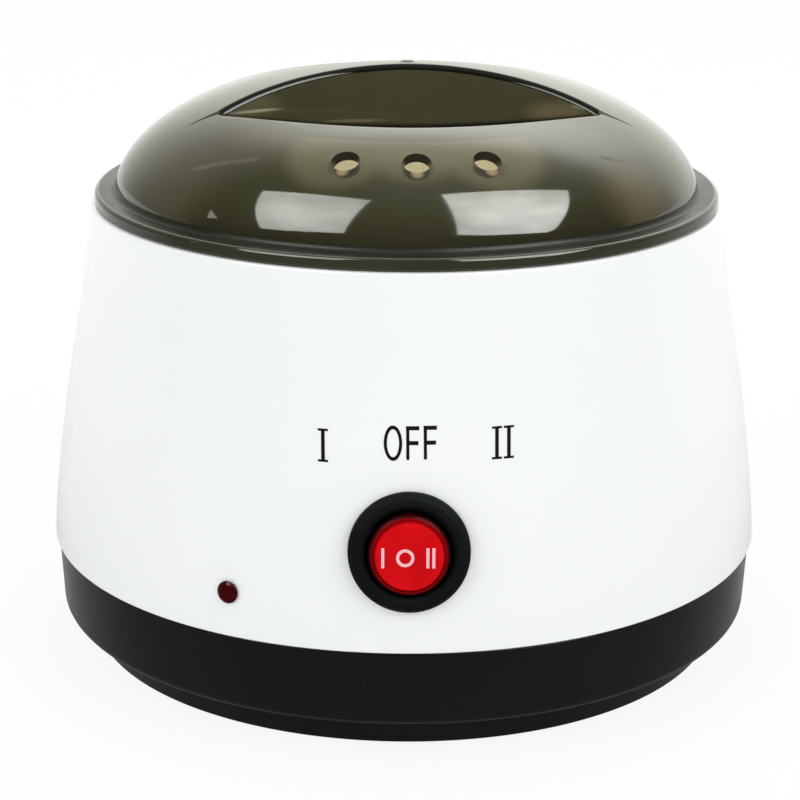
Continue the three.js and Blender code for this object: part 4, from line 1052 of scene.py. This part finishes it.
def outer_scoops():
    levels = scoop_levels(0)
    sections = []
    for i in range(SCOOP_COUNT):
        lower, arc = edge_section(levels, i)
        cap = Vector((arc[-1].x, arc[-1].y, DOME_TOP + 6))
        sections.append(resampled(lower, WALL_STEPS) + arc + [cap])
    rings = [[section[k] for section in sections] for k in range(len(sections[0]))]
    return both_scoops(scoop_solid(rings, [WALL_FACE] * WALL_STEPS + [EDGE_FACE] * (len(rings) - WALL_STEPS)))


def creases():
    """Tools for the four creases, which grow finer and shallower outwards."""
    tools = []
    for side_x in (1, -1):
        rings = []
        for step in range(9):
            share = step / 8
            x, y = (a + (b - a) * share for a, b in zip(CREASE_START, CREASE_END))
            z = dome_height(math.hypot(x, y))
            half = CREASE_WIDTH / 2 * (1 - 0.95 * share)
            rings.append([Vector((side_x * x, y - half, z + 0.5)), Vector((side_x * x, y + half, z + 0.5)),
                          Vector((side_x * x, y, z - CREASE_DEPTH * (1 - 0.9 * share)))])
        tools.append(both_scoops(scoop_solid(rings, [LEDGE_FACE] * 8)))
    return merged(tools)


def vent_tool(azimuth):
    """A round bore through the dome, square to its surface."""
    point = Vector((*polar(VENT_CIRCLE, azimuth), dome_height(VENT_CIRCLE)))
    turn = dome_normal(point).to_track_quat("Z", "Y").to_matrix().to_4x4()
    bore = spun([(0, -LID_WALL - 1), (VENT_R, -LID_WALL - 1), (VENT_R, -0.4), (VENT_R + 0.2, -0.02),
                 (VENT_R + 0.45, 0.9), (0, 0.9)], 64)
    return placed(bore, Matrix.Translation(point) @ turn)


def build_lid():
    start = math.asin(((FLANGE_TOP + DOME_FILLET - DOME_BASE) / DOME_RISE) ** (DOME_RISE_EXPONENT / 2))
    fillet_r, fillet_z = dome_point(start)
    steps = 56
    dome = [dome_point(start + (math.pi / 2 - start) * i / steps) for i in range(steps)]
    dome = [point for point in dome if point[0] > NUB_R + 0.6]
    outside = filleted([
        (0, LID_RIM_BOTTOM),
        (LID_RIM_R, LID_RIM_BOTTOM, 0.3),
        (LID_RIM_R, LID_UNDERSIDE, 0.2),
        (FLANGE_R, LID_UNDERSIDE, 0.5),
        (FLANGE_R, FLANGE_TOP, 0.9),
        (fillet_r, FLANGE_TOP, DOME_FILLET),
        *dome[1:],
        (NUB_R + 0.3, dome_height(NUB_R + 0.3) + 0.02),
        (NUB_R, DOME_TOP + 0.15),
        (NUB_R - 0.3, DOME_TOP + NUB_HEIGHT),
        (0, DOME_TOP + NUB_HEIGHT),
    ])
    inner_start = math.asin(((FLANGE_TOP - DOME_BASE) / DOME_RISE) ** (DOME_RISE_EXPONENT / 2))
    inner_dome = [dome_point(inner_start + (math.pi / 2 - inner_start) * i / 48, LID_WALL) for i in range(48)]
    inside = [
        (0, LID_RIM_BOTTOM - 1),
        (LID_RIM_INNER, LID_RIM_BOTTOM - 1),
        (LID_RIM_INNER, LID_UNDERSIDE),
        (inner_dome[0][0], LID_UNDERSIDE),
        *[point for point in inner_dome if point[0] > 1],
        (0, DOME_TOP - LID_WALL),
    ]
    body = combined(spun(outside, 256), [outer_scoops(), creases()])
    hollow = combined(spun(inside, 192), [both_scoops(scoop_solid(scoop_levels(LID_WALL)))])
    for face in hollow.faces:
        face.material_index = INSIDE_FACE
    vents = merged([vent_tool(azimuth) for azimuth in VENT_AZIMUTHS])
    for face in vents.faces:
        face.material_index = EDGE_FACE
    lid = combined(body, [hollow, vents])
    for face in lid.faces:
        middle = face.calc_center_median()
        if face.material_index == DOME_FACE and middle.z < fillet_z:
            edge = math.hypot(middle.x, middle.y) > FLANGE_R - 1.1
            face.material_index = RIM_FACE if edge else LEDGE_FACE
    return placed(lid, Matrix.Rotation(LID_TURN, 4, "Z"))


LID_FINISHES = [SMOKED, SMOKED_EDGE, SMOKED_WALL, SMOKED_INSIDE, SMOKED_RIM, SMOKED_LEDGE]
finished("clear_lid", build_lid(), LID_FINISHES, "lid_shell", ["lid"], 30)


# Switch

def build_bezel():
    body = spun(filleted([
        (0, BEZEL_WELL_FLOOR),
        (BEZEL_WELL_R, BEZEL_WELL_FLOOR, 0.4),
        (BEZEL_WELL_R, 1.5, 0.35),
        (9.1, 2.1, 0.5),
        (10.5, 2.0, 0.9),
        (BEZEL_R, 0.9, 0.15),
        (BEZEL_R, -0.9, 0.2),
        (BARREL_R, -0.9),
        (BARREL_R, BARREL_END, 0.5),
        (0, BARREL_END),
    ]), 128)
    sockets = drum(PIN_R + PIN_PLAY, -9.2, 9.2, 32, PIN_FRAME)
    return placed(combined(body, [sockets]), SWITCH_FRAME)


finished("switch_bezel", build_bezel(), [BEZEL], "housing", ["switch_body"], 30)


def build_rocker():
    button = spun(filleted([
        (0, ROCKER_FACE + 0.1),
        (6.35, ROCKER_FACE, 0.12),
        (6.4, 2.5, 0.12),
        (6.85, 2.5, 0.12),
        (6.9, 3.2, 0.1),
        (ROCKER_R, 2.7, 0.4),
        (ROCKER_R, ROCKER_BACK, 0.4),
        (0, ROCKER_BACK),
    ]), 96)
    pins = drum(PIN_R, -PIN_REACH, PIN_REACH, 32, PIN_FRAME)
    return placed(combined(button, [pins], "UNION"), SWITCH_FRAME)


finished("rocker_button", build_rocker(), [RED], "rocker_button", ["rocker"], 30)


def flat_ring(outer, inner, bottom, top, centre):
    body = spun([(inner, bottom), (outer, bottom), (outer, top), (inner, top)], 48)
    return placed(body, Matrix.Translation((*centre, 0)))


def build_rocker_marks():
    low, high = ROCKER_FACE, ROCKER_FACE + 0.14
    bars = [brick((x - 0.28, -2.05, low), (x + 0.28, 1.75, high)) for x in (-4.92, 3.39, 4.48)]
    ring = flat_ring(1.68, 1.12, low, high, (-0.79, -0.15))
    return placed(merged([*bars, ring]), SWITCH_FRAME)


finished("rocker_marks", build_rocker_marks(), [PINK_INK], "rocker_button")


# Lamp

def build_lens():
    return placed(spun(filleted([
        (0, -6),
        (1.6, -6, 0.3),
        (1.6, 0.3),
        (2.2, 0.3, 0.1),
        (2.2, 0.55, 0.3),
        (1.6, 0.98, 0.6),
        (0.7, 1.12, 1.0),
        (0, 1.15),
    ]), 64), LAMP_FRAME)


finished("lamp_dome", build_lens(), [LAMP], "housing", ["lamp_lens"], 40)


# Heating well, pot and bail

def vessel(mouth_r, floor_r, floor, bend, mouth):
    """Inside or outside of a drawn vessel, from the middle of its floor to its mouth."""
    points = [(0, floor), (floor_r - bend, floor)]
    points += [(floor_r - bend + bend * math.sin(math.pi / 2 * i / 12),
                floor + bend - bend * math.cos(math.pi / 2 * i / 12)) for i in range(1, 13)]
    return points + [(mouth_r, mouth)]


def drawn_wall(mouth_r, floor_r, floor, bend, mouth, wall):
    """Inside and outside of a drawn vessel, each from the middle of its floor to its mouth."""
    return (vessel(mouth_r, floor_r, floor, bend, mouth),
            vessel(mouth_r + wall, floor_r + wall, floor - wall, bend + wall, mouth))


def build_well():
    """The well, whose mouth rolls over into a flat flange, with the studs under its floor."""
    turn = [math.pi / 2 * i / 6 for i in range(7)]
    roll_inside, roll_outside = (
        [(WELL_MOUTH_R + WELL_ROLL - radius * math.cos(a), WELL_MOUTH + radius * math.sin(a)) for a in turn]
        for radius in (WELL_ROLL, WELL_ROLL - WELL_WALL))
    inside, outside = drawn_wall(WELL_MOUTH_R, WELL_FLOOR_R, WELL_FLOOR, WELL_BEND, WELL_MOUTH, WELL_WALL)
    profile = inside + roll_inside[1:]
    profile += [(WELL_FLANGE_R, roll_inside[-1][1]), (WELL_FLANGE_R, roll_outside[-1][1])]
    profile += roll_outside[::-1] + outside[-2::-1]
    studs = [drum(STRAP_STUD_R, STRAP_STUD_BOTTOM, STUD_TOP, 32)]
    studs += [drum(SMALL_STUD_R, SMALL_STUD_BOTTOM, STUD_TOP, 32, Matrix.Translation((x, y, 0)))
              for x, y in SMALL_STUDS]
    return combined(spun(profile), [merged(studs)], "UNION")


finished("well_vessel", build_well(), [ALUMINIUM], "housing", ["heating_well"], 30)


def build_pot():
    """The pot with a wire bead round its mouth."""
    turn = [math.radians(degrees) for degrees in range(120, -181, -15)]
    bead = [(BEAD_CIRCLE + BEAD_R * math.cos(a), BEAD_Z + BEAD_R * math.sin(a)) for a in turn]
    inside, outside = drawn_wall(POT_MOUTH_R, POT_FLOOR_R, POT_FLOOR, POT_BEND, POT_MOUTH, POT_WALL)
    return spun(inside + bead + outside[::-1])


def pot_ears():
    """The two ears that the bail's pins turn in."""
    ears = []
    for side in (1, -1):
        ear = brick((EAR_OUTER - EAR_THICKNESS, -EAR_R, POT_MOUTH), (EAR_OUTER, EAR_R, HINGE_Z))
        round_top = drum(EAR_R, EAR_OUTER - EAR_THICKNESS, EAR_OUTER, 48, HINGE_FRAME)
        ear = combined(ear, [round_top], "UNION")
        if side < 0:
            bmesh.ops.scale(ear, vec=(-1, 1, 1), verts=ear.verts)
            bmesh.ops.recalc_face_normals(ear, faces=ear.faces)
        ears.append(ear)
    return merged(ears)


def whole_pot():
    pins = drum(EAR_HOLE_R, -60, 60, 32, HINGE_FRAME)
    pot = combined(build_pot(), [pot_ears()], "UNION")
    return combined(pot, [pins])


finished("pot_vessel", whole_pot(), [ALUMINIUM], "pot", ["inner_pot"], 30)


def wire_path(points, radius, sides=20):
    """A round wire along points, as a closed mesh."""
    curve = bpy.data.curves.new("path", "CURVE")
    curve.dimensions = "3D"
    curve.bevel_depth = radius
    curve.bevel_resolution = sides // 4
    curve.use_fill_caps = True
    spline = curve.splines.new("POLY")
    spline.points.add(len(points) - 1)
    for spot, point in zip(spline.points, points):
        spot.co = (*point, 1)
    holder = bpy.data.objects.new("path", curve)
    bpy.context.scene.collection.objects.link(holder)
    mesh = bpy.data.meshes.new_from_object(holder.evaluated_get(bpy.context.evaluated_depsgraph_get()))
    bm = bmesh.new()
    bm.from_mesh(mesh)
    bpy.data.objects.remove(holder)
    bpy.data.curves.remove(curve)
    bpy.data.meshes.remove(mesh)
    bmesh.ops.remove_doubles(bm, verts=bm.verts, dist=1e-4)
    bmesh.ops.recalc_face_normals(bm, faces=bm.faces)
    return bm


def build_bail():
    radius, pin_end, corner = 55.775, 51.4, 1.6
    arc = [(radius * math.cos(a), radius * math.sin(a), HINGE_Z)
           for a in [math.pi * i / 96 for i in range(97)]]
    arc = [point for point in arc if point[1] > corner]
    right = [(pin_end, 0, HINGE_Z), (radius - corner, 0, HINGE_Z)]
    bend = []
    for i in range(1, 8):
        a = -math.pi / 2 + math.pi / 2 * i / 8
        bend.append((radius - corner + corner * math.cos(a), corner + corner * math.sin(a), HINGE_Z))
    left = [(-x, y, z) for x, y, z in reversed(right + bend)]
    return wire_path(right + bend + arc + left, BAIL_WIRE_R)


finished("bail_wire", build_bail(), [WIRE], "bail", ["bail_handle"], 60)


# Feet, base screws and cable gland

def build_feet():
    feet = []
    corners = [(0, 0.25), (2.2, 0.25, 0.3), (2.6, 0), (FOOT_R, 0, 0.6), (FOOT_R, FOOT_TOP, 0.2),
               (0, FOOT_TOP)]
    for azimuth in FOOT_AZIMUTHS:
        foot = spun(filleted(corners), 64)
        feet.append(placed(foot, on_circle(FOOT_CIRCLE, azimuth)))
    return feet


for number, foot in enumerate(build_feet(), 1):
    finished(f"foot_pad_{number}", foot, [RUBBER], "housing", [f"rubber_foot_{number}"], 40)


def build_base_screw(azimuth):
    """A pan-head screw with a cross recess, seen from below in its well."""
    top = SCREW_SEAT - 0.3
    head = top - SCREW_HEAD_H
    screw = spun(filleted([
        (0, head),
        (SCREW_HEAD_R - 0.4, head, 0.7),
        (SCREW_HEAD_R, top, 0.15),
        (SCREW_R, top, 0.2),
        (SCREW_R, top + 15.5, 0.3),
        (0, top + 17),
    ]), 48)
    arms = ((CROSS_HALF_LENGTH, CROSS_HALF_WIDTH), (CROSS_HALF_WIDTH, CROSS_HALF_LENGTH))
    cross = [brick((-x, -y, head - 0.8), (x, y, head + CROSS_DEPTH)) for x, y in arms]
    turn = Matrix.Rotation(math.radians(17 + azimuth), 4, "Z")
    screw = combined(screw, [placed(bar, turn) for bar in cross])
    return placed(screw, on_circle(SCREW_CIRCLE, azimuth))


for number, azimuth in enumerate(SCREW_AZIMUTHS, 1):
    finished(f"pan_screw_{number}", build_base_screw(azimuth), [STEEL], "housing",
             [f"base_screw_{number}"], 35)


def build_gland():
    gland = spun(filleted([
        (GLAND_BORE_R, 3.6, 0.5),
        (GLAND_FLANGE_R, 3.6, 0.6),
        (GLAND_FLANGE_R, 0.3, 0.3),
        (GLAND_BODY_R, 0.3),
        (GLAND_BODY_R, -5.2),
        (GLAND_BODY_R + 0.7, -5.2, 0.2),
        (GLAND_BODY_R, -7.7, 0.2),
        (GLAND_BORE_R, -7.7, 0.2),
    ]), 96)
    return placed(gland, GLAND_FRAME)


finished("gland_bush", build_gland(), [BLACK], "housing", ["cable_gland"], 35)


# Printed marks on the housing

MARK_BACK = -0.08
MARK_FRONT = 0.04
MARK_LEAN = 0.01


def printed(bm, x, height):
    """Prints a flat mark, drawn in the XY plane in millimetres, straight from the front onto the housing."""
    for cut in [i * 0.5 for i in range(-14, 15)]:
        everything = [*bm.verts, *bm.edges, *bm.faces]
        bmesh.ops.bisect_plane(bm, geom=everything, plane_co=(cut, 0, 0), plane_no=(1, 0, 0))
    for vert in bm.verts:
        across = x + vert.co.x - MARK_LEAN * vert.co.y
        z = height + vert.co.y
        out = housing_radius(z) + vert.co.z
        vert.co = (across, -math.sqrt(out ** 2 - across ** 2), z)
    return bm


def stroke(left, right, low, high):
    """One straight stroke of a mark."""
    return brick((left, low, MARK_BACK), (right, high, MARK_FRONT))


def numeral(tall):
    """A roman one with serifs."""
    half = tall / 2
    serifs = [stroke(-0.94, 0.94, half - 0.42, half), stroke(-0.94, 0.94, -half, -half + 0.42)]
    return combined(stroke(-0.34, 0.34, -half + 0.1, half - 0.1), serifs, "UNION")


def letter_o():
    """An upright oval ring."""
    oval = placed(drum(1, MARK_BACK, MARK_FRONT), Matrix.Diagonal((1.7, 3.24, 1, 1)))
    bore = placed(drum(1, 2 * MARK_BACK, 2 * MARK_FRONT), Matrix.Diagonal((1.12, 2.56, 1, 1)))
    return combined(oval, [bore])


def letter_f():
    stem = stroke(0, 0.58, -3.02, 3.12)
    return combined(stem, [stroke(-0.02, 2.42, 2.4, 3.14), stroke(0.02, 2.26, -0.32, 0.42)], "UNION")


MARKS = {
    "mark_one": [(numeral(6.1), -16.04, 62.0)],
    "mark_off": [(letter_o(), -3.1, 62.98), (letter_f(), -0.66, 62.98), (letter_f(), 2.58, 63.04)],
    "mark_two": [(numeral(6.05), 16.16, 62.55), (numeral(6.05), 18.4, 62.54)],
}
for name, shapes in MARKS.items():
    finished(name, merged([printed(*shape) for shape in shapes]), [BLACK_INK], "housing")


# Finishes of the pieces that stay as they are in the model

FINISHES = [
    (STEEL, ["heater_clamp", "clamp_bolt", "well_strap", "well_nut", "strap_screw_1", "strap_screw_2",
             "thermostat_bracket", "thermostat_nut_1", "thermostat_nut_2", "fuse_nut", "fuse_clip",
             "block_screw"]),
    (MICA, ["heater_band"]),
    (ALUMINIUM, ["thermostat"]),
    (NYLON, ["thermal_fuse", "terminal_block"]),
    (BRASS, ["switch_tab_1", "switch_tab_2", "switch_tab_3"]),
    (BLACK, ["lamp_sleeve"]),
    (BROWN_WIRE, ["wire_live"]),
    (RED_WIRE, ["wire_low", "wire_high"]),
    (BLUE_WIRE, ["wire_common", "wire_fuse", "wire_neutral", "wire_lamp"]),
]
for finish, names in FINISHES:
    for name in names:
        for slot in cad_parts[name].material_slots:
            slot.material = finish


# Floor, world, lamps and camera

def ramp_of(tree, source, marks, top=1.0):
    """A colour ramp through (place, level) marks, whose levels may go up to a top value."""
    ramp = node(tree, "ShaderNodeValToRGB", [("Fac", source)])
    ramp.color_ramp.interpolation = "B_SPLINE"
    elements = ramp.color_ramp.elements
    while len(elements) < len(marks):
        elements.new(0.5)
    for element, (place, level) in zip(elements, marks):
        element.position = place
        element.color = (level / top,) * 3 + (1,)
    return ramp.outputs["Color"]


# Brightness of the floor in reflections, from half a metre in front of the object to half a metre behind it
FLOOR_GLOW = [(0, 0), (0.45, 0.1), (0.6, 0.8), (1, 1.2)]
FLOOR_GLOW_TOP = 1.2


def build_floor():
    """A floor that looks white to the camera, catches light, and has a glow of its own in reflections."""
    material, tree = bare_material("pale floor")
    diffuse = node(tree, "ShaderNodeBsdfDiffuse")
    diffuse.inputs["Color"].default_value = (0.92, 0.92, 0.92, 1)
    glow = node(tree, "ShaderNodeEmission")
    rays = node(tree, "ShaderNodeLightPath").outputs
    share = maths(tree, "MULTIPLY", rays["Is Camera Ray"], 0.9)
    seen = mixed(tree, share, diffuse.outputs["BSDF"], glow.outputs["Emission"])
    depth = ranged(tree, axes_of(tree, own_place(tree))["Y"], -0.5, 0.5, 0, 1, "LINEAR")
    colour = ramp_of(tree, depth, FLOOR_GLOW, FLOOR_GLOW_TOP)
    mirrored = node(tree, "ShaderNodeEmission", [("Color", colour)])
    mirrored.inputs["Strength"].default_value = FLOOR_GLOW_TOP
    whole = mixed(tree, rays["Is Glossy Ray"], seen, mirrored.outputs["Emission"])
    node(tree, "ShaderNodeOutputMaterial", [("Surface", whole)])
    bm = bmesh.new()
    bmesh.ops.create_grid(bm, x_segments=1, y_segments=1, size=3)
    mesh_object("floor", bm, [material])


def build_world():
    world = bpy.data.worlds.new("studio")
    bpy.context.scene.world = world
    world.use_nodes = True
    tree = world.node_tree
    tree.nodes.clear()
    fill = node(tree, "ShaderNodeBackground")
    fill.inputs["Strength"].default_value = 0.9
    white = node(tree, "ShaderNodeBackground")
    white.inputs["Color"].default_value = (1, 1, 1, 1)
    studio = node(tree, "ShaderNodeBackground", [("Color", studio_glow(tree))])
    rays = node(tree, "ShaderNodeLightPath").outputs
    seen = maths(tree, "MAXIMUM", rays["Is Camera Ray"], rays["Is Transmission Ray"])
    lit = mixed(tree, rays["Is Glossy Ray"], fill.outputs["Background"], studio.outputs["Background"])
    whole = mixed(tree, seen, lit, white.outputs["Background"])
    node(tree, "ShaderNodeOutputWorld", [("Surface", whole)])


# What reflections see is a wide pale wall behind and a bright panel over it. Each has its brightness by the
# angle from the rear horizon over the top to the front one, and the share left of it by a direction's X.
WALL_GLOW = [(0, 1.5), (52, 1.1), (76, 0), (180, 0)]
WALL_SIDES = [(-1, 0), (-0.3, 1), (0.7, 1), (1, 0)]
PANEL_GLOW = [(0, 0), (28, 1), (49, 8), (62, 0)]
PANEL_SIDES = [(-0.5, 0), (-0.3, 0), (0, 1), (0.5, 0.2), (0.8, 0)]
GLOW_TOP = 8


def glow_of(tree, turn, side, glow, sides):
    """The wall or the panel, as a share of the top brightness."""
    over = ramp_of(tree, turn, [(degrees / 180, level) for degrees, level in glow], GLOW_TOP)
    across = ramp_of(tree, side, [((x + 1) / 2, share) for x, share in sides])
    both = node(tree, "ShaderNodeVectorMath", [(0, over), (1, across)], operation="MULTIPLY")
    return both.outputs["Vector"]


def studio_glow(tree):
    """The colour that reflections see in each direction."""
    axes = axes_of(tree, node(tree, "ShaderNodeTexCoord").outputs["Generated"])
    angle = maths(tree, "ARCTAN2", maths(tree, "MAXIMUM", axes["Z"], 0), axes["Y"])
    turn = maths(tree, "DIVIDE", angle, math.pi)
    side = ranged(tree, axes["X"], -1, 1, 0, 1, "LINEAR")
    wall = glow_of(tree, turn, side, WALL_GLOW, WALL_SIDES)
    panel = glow_of(tree, turn, side, PANEL_GLOW, PANEL_SIDES)
    both = node(tree, "ShaderNodeVectorMath", [(0, wall), (1, panel)], operation="ADD")
    bright = node(tree, "ShaderNodeVectorMath", [(0, both.outputs["Vector"])], operation="MULTIPLY")
    bright.inputs[1].default_value = (GLOW_TOP, GLOW_TOP, 0.95 * GLOW_TOP)
    return bright.outputs["Vector"]


def direction(azimuth, elevation):
    """The unit vector towards an azimuth and an elevation, in degrees."""
    x, y = polar(math.cos(math.radians(elevation)), azimuth)
    return Vector((x, y, math.sin(math.radians(elevation))))


# Panels that the lid reflects, as flat shapes that face it from a distance. Each has its azimuth and
# elevation, the angle by which its top leans to the right, its width and height, the share of its width
# that its top keeps, and its brightness.
PANEL_DISTANCE = 900
PANELS = {
    "left softbox": (-54, 48, -24, 540, 690, 1, 9.3),
    "right softbox": (54, 48, 33, 620, 830, 1, 12),
    "small window": (-87, 24, -36, 75, 135, 0, 2.7),
    "left strip": (-131, 43, -19, 40, 270, 1, 0.9),
    "right strip": (135, 32, 14, 30, 210, 1, 1.4),
}
LID_MIDDLE = Vector((0, -45, 103))


def softbox_cloth(name, middle, level):
    """A lamp's front cloth, brightest in the middle, with a faint cloudiness."""
    material, tree = bare_material(name)
    hot = near_point(tree, middle, 0, 560)
    cloud = spread(tree, object_noise(tree, 5, 3), 0.54, 0.84)
    strength = maths(tree, "MULTIPLY", maths(tree, "MULTIPLY_ADD", hot, 0.5, cloud), level)
    glow = node(tree, "ShaderNodeEmission", [("Strength", strength)])
    glow.inputs["Color"].default_value = (0.97, 1, 0.95, 1)
    node(tree, "ShaderNodeOutputMaterial", [("Surface", glow.outputs["Emission"])])
    return material


def panel_corners(middle, outward, level_way, lean, width, height, top_share):
    """The corners of a flat panel, of which there are three if its top comes to a point."""
    turn = Matrix.Rotation(math.radians(-lean), 3, outward)
    across = turn @ level_way * width / 2
    upwards = turn @ outward.cross(level_way) * height / 2
    corners = [middle - across - upwards, middle + across - upwards, middle + across * top_share + upwards]
    if top_share:
        corners.append(middle - across * top_share + upwards)
    return corners


def build_panels():
    """Panels that only reflections see."""
    for name, (azimuth, elevation, *shape, level) in PANELS.items():
        outward = direction(azimuth, elevation)
        middle = LID_MIDDLE + outward * PANEL_DISTANCE
        bm = bmesh.new()
        corners = panel_corners(middle, outward, direction(azimuth + 90, 0), *shape)
        bm.faces.new([bm.verts.new(corner * MM) for corner in corners])
        panel = mesh_object(name.replace(" ", "_"), bm, [softbox_cloth(name, middle, level)])
        panel.visible_camera = False
        panel.visible_diffuse = False
        panel.visible_transmission = False
        panel.visible_shadow = False


def build_lamp(name, azimuth, elevation, distance, size, power):
    """A soft square lamp that lights the object and isn't reflected in it."""
    light = bpy.data.lights.new(name, "AREA")
    light.shape = "SQUARE"
    light.size = size
    light.energy = power
    lamp = bpy.data.objects.new(name, light)
    bpy.context.scene.collection.objects.link(lamp)
    lamp.location = direction(azimuth, elevation) * distance
    lamp.rotation_euler = direction(azimuth, elevation).to_track_quat("Z", "Y").to_euler()
    lamp.visible_glossy = False
    lamp.visible_camera = False


def build_camera():
    camera = bpy.data.cameras.new("photo camera")
    camera.lens = FOCAL_LENGTH
    camera.sensor_width = 36.0
    camera.clip_end = 20
    holder = bpy.data.objects.new("photo_camera", camera)
    bpy.context.scene.collection.objects.link(holder)
    pitch = Matrix.Rotation(-CAMERA_PITCH, 3, "X")
    turn = Matrix.Rotation(CAMERA_YAW, 3, "Z") @ pitch @ Matrix.Rotation(CAMERA_ROLL, 3, "Y")
    right, forward, up = turn.col
    axes = Matrix((right, up, -forward)).transposed().to_4x4()
    place = Matrix.Translation((0, -CAMERA_DISTANCE * MM, CAMERA_HEIGHT * MM))
    holder.matrix_world = Matrix.Rotation(CAMERA_AZIMUTH, 4, "Z") @ place @ axes
    bpy.context.scene.camera = holder


build_floor()
build_world()
build_panels()
build_lamp("left lamp", -52, 36, 1.2, 0.7, 2.85)
build_lamp("right lamp", 52, 36, 1.2, 0.7, 3.4)
build_lamp("rear lamp", 178, 50, 1.2, 0.8, 2.75)
build_camera()
bpy.context.scene.view_settings.view_transform = "Standard"
